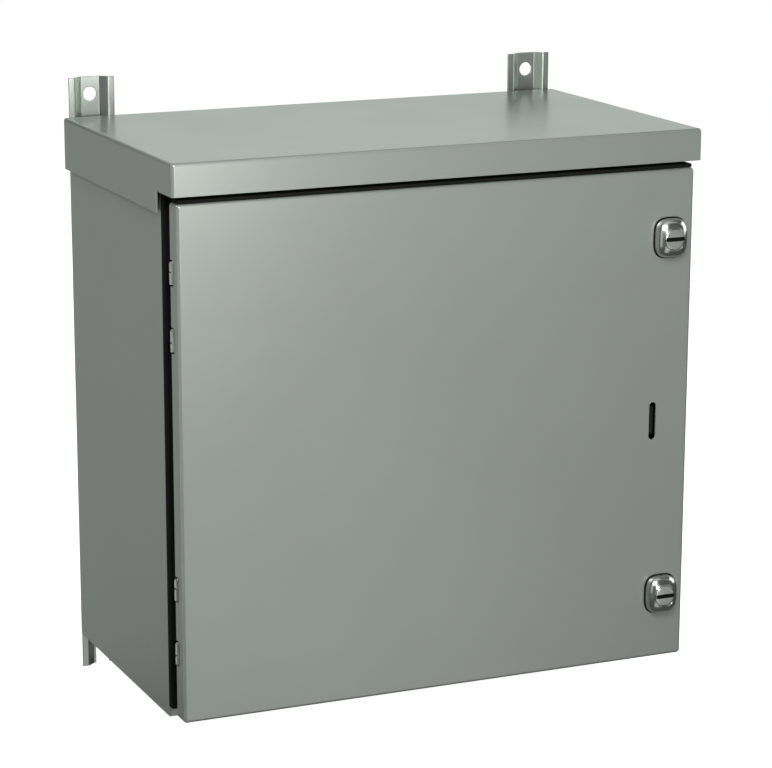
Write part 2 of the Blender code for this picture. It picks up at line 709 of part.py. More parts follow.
def panel_stud(name, spot, material):
    """A collar stud welded to the back wall, which spaces the panel off it."""
    wall = BODY_BACK - SHEET - GAP
    seat = PANEL_BACK + GAP
    tip = seat - STUD_LENGTH
    profile = [(STUD_COLLAR_RADIUS, wall), (STUD_COLLAR_RADIUS, seat), (STUD_RADIUS, seat),
               (STUD_RADIUS, tip + 0.001), (STUD_RADIUS - 0.001, tip)]
    return make(name, turned(profile, "Y", spot, 20), material)


def panel_nut(name, spot, material):
    back = PANEL_BACK - SHEET + NUT_SEAT_DEPTH - GAP
    return make(name, ring_prism(hexagon(spot, PANEL_NUT_FLATS), circle(spot, STUD_RADIUS + GAP), "Y",
                                 back - PANEL_NUT_HEIGHT, back), material)


def earth_set(place_name, spot, wall, toward, length, material):
    """A small stud with a weld flange, its washer and its nut; toward is the way that it points."""
    seat = wall + toward * EARTH_FLANGE_HEIGHT
    tip = wall + toward * length
    profile = [(EARTH_FLANGE_RADIUS, wall), (EARTH_FLANGE_RADIUS, seat), (EARTH_STUD_RADIUS, seat),
               (EARTH_STUD_RADIUS, tip - toward * 0.0008), (EARTH_STUD_RADIUS - 0.0008, tip)]
    pieces = [make(f"{place_name}_earth_stud", turned(profile, "Y", spot, 16), material)]
    bore = circle(spot, EARTH_BORE)
    for word, outline, height in (("washer", circle(spot, EARTH_WASHER_RADIUS), EARTH_WASHER_HEIGHT),
                                  ("nut", hexagon(spot, EARTH_NUT_FLATS), EARTH_NUT_HEIGHT)):
        near = seat + toward * GAP
        seat = near + toward * height
        ring = ring_prism(outline, bore, "Y", near, seat)
        pieces.append(make(f"{place_name}_earth_{word}", ring, material))
    return pieces


# ---------------------------------------------------------------- the whole cabinet

def main():
    for obj in list(bpy.data.objects):
        bpy.data.objects.remove(obj)

    paintwork = paint("painted_steel", (0.31, 0.335, 0.31), 0.42, 0.0)
    rubber = paint("black_rubber", (0.008, 0.008, 0.008), 0.85, 0.0)
    zinc = paint("zinc_steel", (0.60, 0.60, 0.57), 0.38, 1.0)
    chrome = paint("chrome", (0.72, 0.73, 0.71), 0.16, 1.0)
    white = paint("white_steel", (0.75, 0.75, 0.73), 0.45, 0.0)
    black = paint("black_steel", (0.012, 0.012, 0.012), 0.6, 0.0)

    origin = (0.0, -(WALL_Y + LATCH_FRONT) / 2, BODY_DROP + BRACKET_FALL)
    cabinet = pivot("cabinet", (0.0, 0.0, 0.0))
    cabinet.location = origin
    door_axis = pivot("door_axis", (HINGE_X, HINGE_Y, DOOR_HEIGHT / 2), cabinet)

    fixed = [body_wrapper(paintwork), frame_seal(rubber), drip_hood(paintwork), mounting_panel(white),
             staple_guide(black)]
    moving = [door_panel(paintwork), door_gasket(rubber), door_top_seal(rubber)]
    for word, side in (("left", -1), ("right", 1)):
        fixed.append(body_side(f"body_side_{word}", side, paintwork))
        fixed.append(wall_bracket(f"wall_bracket_top_{word}", side, True, paintwork))
        fixed.append(wall_bracket(f"wall_bracket_bottom_{word}", side, False, paintwork))

    for level, centre in HINGE_CENTRES.items():
        fixed.append(hinge_body_leaf(f"hinge_{level}_body_leaf", centre, zinc))
        moving.append(hinge_door_leaf(f"hinge_{level}_door_leaf", centre, zinc))
        for end, (low, high) in zip(("bottom", "top"), hinge_pairs(centre)):
            fixed.append(hinge_pin(f"hinge_{level}_pin_{end}", low, high, zinc))

    for level, height in LATCH_HEIGHTS.items():
        moving.append(latch_cap(f"latch_{level}_cap", height, chrome))
        moving.append(latch_gasket(f"latch_{level}_gasket", height, rubber))
        moving.append(latch_nut(f"latch_{level}_nut", height, zinc))
        latch_axis = pivot(f"latch_{level}_axis", (LATCH_X, 0.0, height), door_axis)
        for piece in (latch_driver(f"latch_{level}_driver", height, chrome),
                      latch_cam(f"latch_{level}_cam", height, zinc),
                      latch_cam_nut(f"latch_{level}_cam_nut", height, zinc)):
            attach(piece, latch_axis)

    for number, spot in enumerate(stud_places(), start=1):
        fixed.append(panel_stud(f"panel_stud_{number}", spot, zinc))
        fixed.append(panel_nut(f"panel_nut_{number}", spot, zinc))

    fixed += earth_set("body", BODY_EARTH, BODY_BACK - SHEET - GAP, -1, 0.02, zinc)
    moving += earth_set("door", DOOR_EARTH, SHEET + GAP, 1, 0.018, zinc)

    staple = padlock_staple(black)
    attach(staple, pivot("staple_axis", (STAPLE_X, STAPLE_FRONT, STAPLE_Z), cabinet))
    for obj in fixed:
        attach(obj, cabinet)
    for obj in moving:
        attach(obj, door_axis)
    for obj in bpy.context.scene.objects:
        if obj.type == "MESH":
            obj.data.shade_smooth()
            obj.data.set_sharp_from_angle(angle=math.radians(35))


main()
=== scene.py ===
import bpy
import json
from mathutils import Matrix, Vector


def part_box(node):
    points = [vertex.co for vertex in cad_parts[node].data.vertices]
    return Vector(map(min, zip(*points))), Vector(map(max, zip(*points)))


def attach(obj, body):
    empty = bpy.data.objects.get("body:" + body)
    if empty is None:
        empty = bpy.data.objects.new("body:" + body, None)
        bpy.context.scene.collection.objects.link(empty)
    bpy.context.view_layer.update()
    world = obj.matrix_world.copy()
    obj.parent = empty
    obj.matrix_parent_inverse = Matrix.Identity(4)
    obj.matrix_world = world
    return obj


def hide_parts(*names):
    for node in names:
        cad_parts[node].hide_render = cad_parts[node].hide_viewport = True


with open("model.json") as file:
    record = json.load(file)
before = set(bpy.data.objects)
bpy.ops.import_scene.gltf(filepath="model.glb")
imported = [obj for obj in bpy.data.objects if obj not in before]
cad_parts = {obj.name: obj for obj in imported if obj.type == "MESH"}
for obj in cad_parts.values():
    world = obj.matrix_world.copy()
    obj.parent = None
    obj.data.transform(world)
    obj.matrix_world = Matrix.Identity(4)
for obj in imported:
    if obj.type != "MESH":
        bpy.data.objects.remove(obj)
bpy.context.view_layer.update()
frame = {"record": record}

import json
import math

import bmesh
import bpy
from mathutils import Matrix, Vector

# Every piece is modelled in the door's frame, in metres: X across, Y back from the door's face,
# Z up from the door's bottom edge, X = 0 on the centre line. ORIGIN carries it to the row frame.
DOOR_LOW, DOOR_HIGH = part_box("door_panel")
ORIGIN = Vector(((DOOR_LOW.x + DOOR_HIGH.x) / 2, DOOR_LOW.y, DOOR_LOW.z))


def cad(node):
    """The lowest and highest corner of a CAD node, in the door's frame."""
    low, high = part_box(node)
    return low - ORIGIN, high - ORIGIN


FAR = 1.0                       # further than any piece reaches, for cutting blocks

SHEET = 0.0019                  # thickness of the steel
BEND = 0.0029                   # outer radius of a bend
SIDE_BEND = 0.0022              # outer radius of the tighter bends at the front of a side wall
GAP = 0.0003                    # play between two pieces that meet
PAN_CORNER = 0.0032             # corner radius of the hood and of the door

DOOR_W = (DOOR_HIGH.x - DOOR_LOW.x) / 2
DOOR_H = DOOR_HIGH.z - DOOR_LOW.z
DOOR_D = DOOR_HIGH.y - DOOR_LOW.y
PADLOCK_SLOT_WIDTH, PADLOCK_SLOT_HEIGHT = 0.007, 0.036
NOTCH_DEPTH, NOTCH_MARGIN = 0.006, 0.0022

SIDE_LOW, SIDE_HIGH = cad("body_side_left")
BODY_W = -SIDE_LOW.x
BODY_BACK = SIDE_HIGH.y
BODY_BOTTOM, BODY_TOP = SIDE_LOW.z, SIDE_HIGH.z
BODY_FRONT = 0.0382
COLLAR_FRONT = SIDE_LOW.y
COLLAR_INSET = 0.0131
COLLAR_X = BODY_W - COLLAR_INSET
COLLAR_BOTTOM, COLLAR_TOP = 0.0074, 0.4615
DRAIN_X, DRAIN_Y, DRAIN_R = 0.12, 0.075, 0.0032
HOOD_LOW, HOOD_HIGH = cad("drip_hood")
HOOD_FRONT_SKIRT = 0.0294
HOOD_NOTCH = HOOD_HIGH.z - HOOD_FRONT_SKIRT

BRACKET_SHEET, BRACKET_WIDTH, BRACKET_FLANGE, BRACKET_WEB = 0.002, 0.045, 0.00585, 0.0189
BRACKET_HOLE_R, BRACKET_HOLE_INSET = 0.0067, 0.0165
WELDS, WELD_INSET, WELD_PITCH, WELD_OFF_CENTRE = 3, 0.012, 0.017, 0.0002

PIN_LOW, PIN_HIGH = cad("hinge_upper_pin_top")
HINGE_X, HINGE_Y = (PIN_LOW.x + PIN_HIGH.x) / 2, (PIN_LOW.y + PIN_HIGH.y) / 2
PIN_R, PIN_HEAD_R, PIN_HEAD_DROP = 0.0013, 0.0021, 0.0014
KNUCKLE_R, KNUCKLE_BORE = 0.0028, 0.0016
OUTER_KNUCKLE, INNER_KNUCKLE, KNUCKLE_GAP = 0.0076, 0.0102, 0.0012
BODY_LEAF_REAR, DOOR_LEAF_FRONT, RIB_REAR = 0.033, 0.0035, 0.0225

CAP_LOW, CAP_HIGH = cad("latch_upper_cap")
LATCH_X = (CAP_LOW.x + CAP_HIGH.x) / 2
LATCH_W, LATCH_H = (CAP_HIGH.x - CAP_LOW.x) / 2, (CAP_HIGH.z - CAP_LOW.z) / 2
LATCH_FRONT, LATCH_BASE = cad("latch_upper_driver")[0].y, -0.0015
DOME_FRONT = LATCH_FRONT - 0.0004
CORNER_POWER, DOME_POWER = 3.2, 2.6
LATCH_COUNT = 96                # points round a latch's outline
GASKET_MARGIN = 0.001
DRIVER_R, SPINDLE_R, SHANK_R = 0.0102, 0.003, 0.0055
RECESS_FLOOR, SHANK_END = -0.005, 0.009
COIN_HALF_LENGTH, COIN_HALF_WIDTH, COIN_CORNER, COIN_FLOOR = 0.0096, 0.0019, 0.0012, -0.0082
# The coin slot's black lining below is painted shade.
SLOT_SHADE_WALL = 0.00025           # thickness of the black lining in the coin slot
CAM_HALF_WIDTH, CAM_BOSS_MARGIN = 0.005, 0.001

STAPLE_LOW, STAPLE_HIGH = cad("padlock_staple")
STAPLE_X, STAPLE_Z = (STAPLE_LOW.x + STAPLE_HIGH.x) / 2, (STAPLE_LOW.z + STAPLE_HIGH.z) / 2
STAPLE_HALF_HEIGHT, STAPLE_CORNER, STAPLE_TAIL = 0.014, 0.003, 0.005
EYE_R, EYE_INSET = 0.0048, 0.012
GUIDE_HALF_WIDTH, GUIDE_HALF_HEIGHT, GUIDE_SHEET = 0.0042, 0.0162, 0.0018
PASSAGE_HALF_WIDTH, PASSAGE_HALF_HEIGHT = 0.0024, 0.0144

PANEL_LOW, PANEL_HIGH = cad("mounting_panel")
NUT_SEAT_R, NUT_SEAT_DEPTH, PANEL_HOLE_R = 0.0102, 0.0004, 0.0053
PANEL_STUD_R, PANEL_STUD_PITCH, PANEL_NUT_BORE = 0.0047, 0.0015, 0.005
EARTH_STUD_R, EARTH_STUD_PITCH, EARTH_BORE = 0.003, 0.001, 0.0033
THREAD_DEPTH = 0.55             # depth of a thread, as a share of its pitch
THREAD_COUNT = 36               # points round a thread
LATCH_NUT, CAM_NUT, PANEL_NUT, EARTH_NUT = 0.015, 0.0098, 0.0145, 0.010     # across the flats

BODY_OF = {node: body for body, nodes in frame["record"]["behaviour"]["bodies"].items()
           for node in nodes}
DIRECTIONS = {"X": (1, 2, 0), "Y": (0, 2, 1), "Z": (0, 1, 2)}


# ---------------------------------------------------------------- outlines

def arc(centre, radius, start, end, steps):
    return [(centre[0] + radius * math.cos(math.radians(start + (end - start) * i / steps)),
             centre[1] + radius * math.sin(math.radians(start + (end - start) * i / steps)))
            for i in range(steps + 1)]


def circle(centre, radius, count=48):
    return arc(centre, radius, 0, 360, count)[:-1]


def rounded(u0, u1, v0, v1, radius, steps=8):
    return (arc((u1 - radius, v0 + radius), radius, -90, 0, steps)
            + arc((u1 - radius, v1 - radius), radius, 0, 90, steps)
            + arc((u0 + radius, v1 - radius), radius, 90, 180, steps)
            + arc((u0 + radius, v0 + radius), radius, 180, 270, steps))


def obround(u, v, width, height, steps=12):
    r, straight = width / 2, (height - width) / 2
    return arc((u, v + straight), r, 0, 180, steps) + arc((u, v - straight), r, 180, 360, steps)


def hexagon(centre, across_flats, count=48):
    """A hexagon with many points on each side, so that a nut's corners can be turned off."""
    points = []
    for i in range(count):
        angle = math.tau * i / count
        off = (angle + math.pi / 6) % (math.pi / 3) - math.pi / 6       # from the side's middle
        r = across_flats / 2 / math.cos(off)
        points.append((centre[0] + r * math.cos(angle), centre[1] + r * math.sin(angle)))
    return points


def superellipse(half_u, half_v, power, count=96):
    points = []
    for i in range(count):
        c, s = math.cos(math.tau * i / count), math.sin(math.tau * i / count)
        points.append((half_u * math.copysign(abs(c) ** (2 / power), c),
                       half_v * math.copysign(abs(s) ** (2 / power), s)))
    return points


def bent_path(corners, radius, steps=8):
    """An open line through the corners, with each inner corner turned into an arc."""
    path = [Vector(corners[0])]
    for before, corner, after in zip(corners, corners[1:], corners[2:]):
        corner = Vector(corner)
        into, out = (Vector(before) - corner).normalized(), (Vector(after) - corner).normalized()
        half = into.angle(out) / 2
        centre = corner + (into + out).normalized() * (radius / math.sin(half))
        first = corner + into * (radius / math.tan(half)) - centre
        last = corner + out * (radius / math.tan(half)) - centre
        path += [centre + first.slerp(last, i / steps).normalized() * radius
                 for i in range(steps + 1)]
    return path + [Vector(corners[-1])]


def sheet_outline(path, thickness):
    """The closed outline of a sheet of even thickness that follows an open line."""
    left, right = [], []
    for i, point in enumerate(path):
        point = Vector(point)
        before = (point - Vector(path[i - 1])).normalized() if i else None
        after = (Vector(path[i + 1]) - point).normalized() if i + 1 < len(path) else None
        tangent = ((before or after) + (after or before)).normalized()
        normal = Vector((-tangent.y, tangent.x)) * (thickness / 2 / tangent.dot(before or after))
        left.append(point + normal)
        right.append(point - normal)
    return left + right[::-1]


# ---------------------------------------------------------------- solids

def place(axis, point, depth):
    across, up, along = DIRECTIONS[axis]
    spot = Vector((0.0, 0.0, 0.0))
    spot[across], spot[up], spot[along] = point[0], point[1], depth
    return spot


def loft(rings, closed=False):
    """A solid through rings of equal count: capped at both ends, or joined end to start."""
    bm = bmesh.new()
    loops = [[bm.verts.new(point) for point in ring] for ring in rings]
    if closed:
        loops.append(loops[0])
    else:
        bm.faces.new(loops[0])
        bm.faces.new(loops[-1])
    count = len(loops[0])
    for low, high in zip(loops, loops[1:]):
        for i in range(count):
            j = (i + 1) % count
            bm.faces.new((low[i], low[j], high[j], high[i]))
    return bm


def prism(outline, axis, low, high):
    return loft([[place(axis, point, depth) for point in outline] for depth in (low, high)])


def box(x0, x1, y0, y1, z0, z1):
    return prism([(x0, y0), (x1, y0), (x1, y1), (x0, y1)], "Z", z0, z1)


def band(inner, outer, axis, profile):
    """A ring swept between two outlines: the profile gives (share of the way out, depth) pairs."""
    return loft([[place(axis, (a[0] + (b[0] - a[0]) * t, a[1] + (b[1] - a[1]) * t), depth)
                  for a, b in zip(inner, outer)] for t, depth in profile], closed=True)


def turned(profile, axis, centre, count=48, closed=False):
    return loft([[place(axis, point, depth) for point in circle(centre, radius, count)]
                 for radius, depth in profile], closed)


def pan(u0, u1, v0, v1, axis, open_end, closed_end, corner, bend, steps=8):
    """A block whose closed end has rounded edges all round, as a bent sheet pan has."""
    toward = math.copysign(1, closed_end - open_end)
    levels = [(0.0, open_end)]
    for i in range(steps + 1):
        turn = math.pi / 2 * i / steps
        levels.append((bend * (1 - math.cos(turn)),
                       closed_end - toward * bend * (1 - math.sin(turn))))
    return loft([[place(axis, point, depth) for point in
                  rounded(u0 + inset, u1 - inset, v0 + inset, v1 - inset, corner - inset)]
                 for inset, depth in levels])


def threaded(radius, pitch, low, high, centre, head):
    """A stud along Y: head's (radius, depth) pairs, then a real helical thread from low to high."""
    count, tip_length = THREAD_COUNT, 0.0004
    toward = math.copysign(1, high - low)
    rings = [[place("Y", point, depth) for point in circle(centre, r, count)] for r, depth in head]
    groove = pitch * THREAD_DEPTH
    length = abs(high - low)
    total = max(8, round(length / pitch * 6))
    for k in range(total + 1):
        along = length * k / total
        fade = min(1.0, along / pitch, (length - along) / pitch)
        ring = []
        for i in range(count):
            phase = (along / pitch - i / count) % 1.0
            dip = abs(2 * phase - 1)
            r = radius - groove * (0.5 + (min(1.0, max(0.0, dip * 1.25 - 0.12)) - 0.5) * fade)
            angle = math.tau * i / count
            point = (centre[0] + r * math.cos(angle), centre[1] + r * math.sin(angle))
            ring.append(place("Y", point, low + toward * along))
        rings.append(ring)
    tip = circle(centre, radius - groove - tip_length, count)
    rings.append([place("Y", point, high + toward * tip_length) for point in tip])
    return loft(rings)


# ---------------------------------------------------------------- objects

MATERIALS = {}


def as_object(name, bm):
    bmesh.ops.recalc_face_normals(bm, faces=bm.faces)
    mesh = bpy.data.meshes.new(name)
    bm.to_mesh(mesh)
    bm.free()
    obj = bpy.data.objects.new(name, mesh)
    bpy.context.scene.collection.objects.link(obj)
    return obj


def combine(target, bm, operation):
    tool = as_object("tool", bm)
    modifier = target.modifiers.new("Boolean", "BOOLEAN")
    modifier.operation = operation
    modifier.object = tool
    result = bpy.data.meshes.new_from_object(
        target.evaluated_get(bpy.context.evaluated_depsgraph_get()))
    target.modifiers.clear()
    target.data = result
    bpy.data.objects.remove(tool)
    return target


def cut(target, bm):
    return combine(target, bm, "DIFFERENCE")


def join(target, bm):
    return combine(target, bm, "UNION")


def finish_piece(obj, body, slot, edge=0.0, segments=2, angle=38, look=None):
    """Softens the edges, keeps flat faces flat in shading, and puts the piece on its body."""
    obj.data.transform(Matrix.Translation(ORIGIN))
    obj.data.shade_smooth()
    obj.data.materials.clear()
    obj.data.materials.append(MATERIALS[look or slot])
    if edge:
        bevel = obj.modifiers.new("Edges", "BEVEL")
        bevel.width = edge
        bevel.segments = segments
        bevel.limit_method = "ANGLE"
        bevel.angle_limit = math.radians(angle)
        bevel.use_clamp_overlap = True
        bevel.miter_outer = "MITER_ARC"
    else:
        obj.data.set_sharp_from_angle(angle=math.radians(angle))
    normals = obj.modifiers.new("Normals", "WEIGHTED_NORMAL")
    normals.keep_sharp = True
    normals.weight = 80
    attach(obj, body)
    return obj


def finer(node, obj, slot, edge=0.0, **options):
    """A finer body that stands for one CAD node and rides where the node rides."""
    finish_piece(obj, BODY_OF[node], slot, edge, **options)
    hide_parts(node)
    return obj


def start(node, bm):
    return as_object(node + "_fine", bm)


# ---------------------------------------------------------------- materials

class Nodes:
    """A small helper for building one material's node tree."""

    def __init__(self, name):
        self.material = bpy.data.materials.new(name)
        self.material.use_nodes = True
        self.tree = self.material.node_tree
        self.shader = self.tree.nodes["Principled BSDF"]
        self.coordinates = self.add("ShaderNodeTexCoord").outputs["Object"]

    def add(self, kind, **settings):
        node = self.tree.nodes.new(kind)
        for key, value in settings.items():
            setattr(node, key, value)
        return node

    def link(self, source, target):
        self.tree.links.new(source, target)

    def stretched(self, scale):
        mapping = self.add("ShaderNodeMapping")
        mapping.inputs["Scale"].default_value = scale
        self.link(self.coordinates, mapping.inputs["Vector"])
        return mapping.outputs["Vector"]

    def noise(self, scale, detail=2.0, roughness=0.5, vector=None):
        node = self.add("ShaderNodeTexNoise")
        node.inputs["Scale"].default_value = scale
        node.inputs["Detail"].default_value = detail
        node.inputs["Roughness"].default_value = roughness
        self.link(vector or self.coordinates, node.inputs["Vector"])
        return node.outputs["Fac"]

    def cells(self, scale, feature="F1"):
        node = self.add("ShaderNodeTexVoronoi", feature=feature)
        node.inputs["Scale"].default_value = scale
        self.link(self.coordinates, node.inputs["Vector"])
        return node.outputs["Color"] if feature == "F1" else node.outputs["Distance"]

    def spread(self, value, low, high, from_low=0.3, from_high=0.7):
        node = self.add("ShaderNodeMapRange")
        for key, number in (("From Min", from_low), ("From Max", from_high), ("To Min", low),
                            ("To Max", high)):
            node.inputs[key].default_value = number
        self.link(value, node.inputs["Value"])
        return node.outputs["Result"]

    def maths(self, operation, first, second):
        node = self.add("ShaderNodeMath", operation=operation)
        for socket, value in zip(node.inputs, (first, second)):
            if isinstance(value, float):
                socket.default_value = value
            else:
                self.link(value, socket)
        return node.outputs[0]

    def blend(self, share, first, second):
        """A colour between two others; either may be a plain colour or another node's output."""
        node = self.add("ShaderNodeMix", data_type="RGBA")
        self.link(share, node.inputs["Factor"])
        for letter, value in (("A", first), ("B", second)):
            socket = next(s for s in node.inputs if s.name == letter and s.type == "RGBA")
            if isinstance(value, tuple):
                socket.default_value = (*value, 1.0)
            else:
                self.link(value, socket)
        return next(s for s in node.outputs if s.type == "RGBA")

    def edges(self, radius):
        """About 1 on outer and inner edges, 0 on flat faces."""
        bevel = self.add("ShaderNodeBevel", samples=4)
        bevel.inputs["Radius"].default_value = radius
        dot = self.add("ShaderNodeVectorMath", operation="DOT_PRODUCT")
        self.link(bevel.outputs["Normal"], dot.inputs[0])
        self.link(self.add("ShaderNodeNewGeometry").outputs["Normal"], dot.inputs[1])
        return self.spread(dot.outputs["Value"], 1.0, 0.0, 0.8, 0.99)

    def bumps(self, *layers):
        """Stacks (height, distance, strength) layers into the shader's normal."""
        previous = None
        for height, distance, strength in layers:
            bump = self.add("ShaderNodeBump")
            bump.inputs["Distance"].default_value = distance
            bump.inputs["Strength"].default_value = strength
            self.link(height, bump.inputs["Height"])
            if previous:
                self.link(previous, bump.inputs["Normal"])
            previous = bump.outputs["Normal"]
        self.link(previous, self.shader.inputs["Normal"])

    def set(self, **values):
        for key, value in values.items():
            self.shader.inputs[key.replace("_", " ")].default_value = value


def painted(name, colour, dark, light, worn, rough, sheen):
    """Semi-gloss powder coat: orange peel, a faint mottle, thin paint on the edges."""
    n = Nodes(name)
    broad = n.noise(7.0, 3.0)
    mottle = n.noise(160.0, 3.0, 0.6)
    grain = n.noise(2600.0, 2.0)
    body = n.blend(n.spread(broad, 0.0, 1.0, 0.35, 0.65), dark, light)
    body = n.blend(n.spread(mottle, 0.0, 0.35), body, colour)
    body = n.blend(n.spread(grain, 0.0, 0.12), body, light)
    flakes = n.spread(n.noise(420.0, 4.0, 0.7), 0.0, 0.55, 0.45, 0.75)
    chipped = n.maths("MULTIPLY", n.edges(0.0006), flakes)
    n.link(n.blend(chipped, body, worn), n.shader.inputs["Base Color"])
    smudge = n.spread(n.noise(16.0, 4.0, 0.6), rough - 0.008, rough + 0.010)
    n.link(n.maths("ADD", smudge, n.spread(grain, -0.01, 0.01)), n.shader.inputs["Roughness"])
    n.bumps((n.noise(4.0, 1.0), 0.0012, 0.35), (n.noise(520.0, 2.0), 0.00005, 0.6),
            (grain, 0.00001, 0.5))
    n.set(IOR=1.5, Metallic=sheen, Specular_Tint=(0.90, 1.0, 0.92, 1.0))
    return n.material


def rubber(name):
    """Matt black foam: open pores, a little dust, greyer where it is rubbed. Its black is also
    painted shade on the frame seal and the door's top seal.
    """
    n = Nodes(name)
    pores = n.cells(1500.0, "DISTANCE_TO_EDGE")
    dust = n.noise(35.0, 4.0, 0.65)
    body = n.blend(n.spread(dust, 0.0, 1.0), (0.004, 0.004, 0.004), (0.008, 0.008, 0.0078))
    rubbed = n.maths("MULTIPLY", n.edges(0.0005), n.spread(dust, 0.0, 0.3))
    body = n.blend(rubbed, body, (0.02, 0.02, 0.0195))
    n.link(body, n.shader.inputs["Base Color"])
    n.link(n.spread(dust, 0.72, 0.9), n.shader.inputs["Roughness"])
    n.bumps((n.spread(pores, 0.0, 1.0, 0.0, 0.2), 0.00006, 0.6),
            (n.noise(220.0, 2.0), 0.00015, 0.4))
    n.set(Specular_IOR_Level=0.15)
    return n.material


def enamel(name):
    """Matt black stove enamel: slightly lumpy, dusty, rubbed to grey on the edges. Its black is
    also painted shade: it lines the coin slots and darkens what shows through the padlock slot.
    """
    n = Nodes(name)
    lumps = n.noise(300.0, 3.0, 0.6)
    dust = n.noise(40.0, 4.0, 0.65)
    body = n.blend(n.spread(dust, 0.0, 1.0), (0.007, 0.007, 0.007), (0.013, 0.013, 0.013))
    rubbed = n.maths("MULTIPLY", n.edges(0.0004), n.spread(lumps, 0.0, 0.25))
    n.link(n.blend(rubbed, body, (0.05, 0.05, 0.049)), n.shader.inputs["Base Color"])
    n.link(n.spread(dust, 0.6, 0.78), n.shader.inputs["Roughness"])
    n.bumps((lumps, 0.00006, 0.6), (n.noise(1800.0, 2.0), 0.00001, 0.5))
    n.set(Specular_IOR_Level=0.15)
    return n.material


def zinc(name):
    """Clear zinc plate: faint spangle, fine drawn scratches, brighter rubbed edges."""
    n = Nodes(name)
    spangle = n.cells(420.0)
    drawn = n.noise(1.0, 3.0, 0.6, n.stretched((2600.0, 2600.0, 120.0)))
    cloud = n.noise(55.0, 4.0, 0.6)
    body = n.blend(n.spread(cloud, 0.0, 1.0), (0.50, 0.50, 0.47), (0.66, 0.66, 0.63))
    body = n.blend(n.spread(spangle, 0.0, 0.25, 0.2, 0.8), body, (0.60, 0.62, 0.64))
    rubbed = n.maths("MULTIPLY", n.edges(0.0004), n.spread(cloud, 0.2, 0.7))
    body = n.blend(rubbed, body, (0.78, 0.78, 0.76))
    n.link(body, n.shader.inputs["Base Color"])
    n.link(n.maths("ADD", n.spread(cloud, 0.28, 0.42), n.spread(drawn, -0.05, 0.06)),
           n.shader.inputs["Roughness"])
    n.bumps((cloud, 0.00008, 0.4), (drawn, 0.000012, 0.6))
    n.set(Metallic=1.0)
    return n.material


def chrome(name):
    """Plated die casting: softly mirrored, with casting waviness and hairline polishing marks. Its
    green tint is a painted reflection of the grey-green paint round it.
    """
    n = Nodes(name)
    wave = n.noise(130.0, 2.0)
    hair = n.noise(1.0, 4.0, 0.65, n.stretched((300.0, 300.0, 4200.0)))
    haze = n.noise(260.0, 4.0, 0.6)
    # Painted reflection: the green in these colours stands for the cabinet's paint seen in the
    # chrome.
    body = n.blend(n.spread(haze, 0.0, 1.0), (0.595, 0.64, 0.585), (0.70, 0.745, 0.69))
    rubbed = n.maths("MULTIPLY", n.edges(0.0004), n.spread(haze, 0.2, 0.6))
    body = n.blend(rubbed, body, (0.78, 0.79, 0.78))
    n.link(body, n.shader.inputs["Base Color"])
    n.link(n.maths("ADD", n.spread(haze, 0.17, 0.25), n.spread(hair, -0.02, 0.03)),
           n.shader.inputs["Roughness"])
    n.bumps((wave, 0.00012, 0.35), (hair, 0.000004, 0.5))
    n.set(Metallic=1.0)
    return n.material


MATERIALS["painted_steel"] = painted(
    "painted_steel_coat", colour=(0.31, 0.337, 0.308), dark=(0.304, 0.331, 0.302),
    light=(0.316, 0.344, 0.315), worn=(0.40, 0.42, 0.40), rough=0.29, sheen=0.45)
# A lighter, near-mirror copy of the cabinet's coat for the brackets and their weld marks: its
# brighter colour is painted light on the brackets.
MATERIALS["bracket_coat_painted_light"] = painted(
    "bracket_coat_painted_light", colour=(0.46, 0.495, 0.46), dark=(0.45, 0.485, 0.45),
    light=(0.47, 0.505, 0.47), worn=(0.56, 0.59, 0.56), rough=0.29, sheen=0.95)
MATERIALS["white_steel"] = painted(
    "white_steel_coat", colour=(0.74, 0.74, 0.72), dark=(0.72, 0.72, 0.70),
    light=(0.77, 0.77, 0.75), worn=(0.6, 0.6, 0.59), rough=0.42, sheen=0.0)
MATERIALS["black_rubber"] = rubber("black_foam_and_painted_shade")
MATERIALS["zinc_steel"] = zinc("zinc_steel_plate")
MATERIALS["black_steel"] = enamel("black_enamel_and_painted_shade")
MATERIALS["chrome"] = chrome("chrome_plate_painted_reflection")


# ---------------------------------------------------------------- body

def body_side(name, side):
    """A side wall with its front return and collar; its back corners follow the wrapper's bends."""
    past = 0.01
    wall, inner = BODY_W - SHEET / 2, COLLAR_X - SHEET / 2
    returned = BODY_FRONT + SHEET / 2
    path = bent_path([(side * wall, BODY_BACK), (side * wall, returned), (side * inner, returned),
                      (side * inner, COLLAR_FRONT)], SIDE_BEND - SHEET / 2)
    obj = start(name, prism(sheet_outline(path, SHEET), "Z", BODY_BOTTOM, BODY_TOP))
    for low, high in ((-FAR, COLLAR_BOTTOM), (COLLAR_TOP, FAR)):
        cut(obj, box(-FAR, FAR, -FAR, BODY_FRONT - GAP, low, high))
    for edge, toward in ((BODY_BOTTOM, -1), (BODY_TOP, 1)):
        centre = (BODY_BACK - BEND, edge - toward * BEND)
        outline = arc(centre, BEND, 0, toward * 90, 10)
        outline += [(centre[0], edge + toward * past), (BODY_BACK + past, edge + toward * past),
                    (BODY_BACK + past, centre[1])]
        cut(obj, prism(outline, "X", -FAR, FAR))
    return finer(name, obj, "painted_steel", edge=0.0006, segments=3)


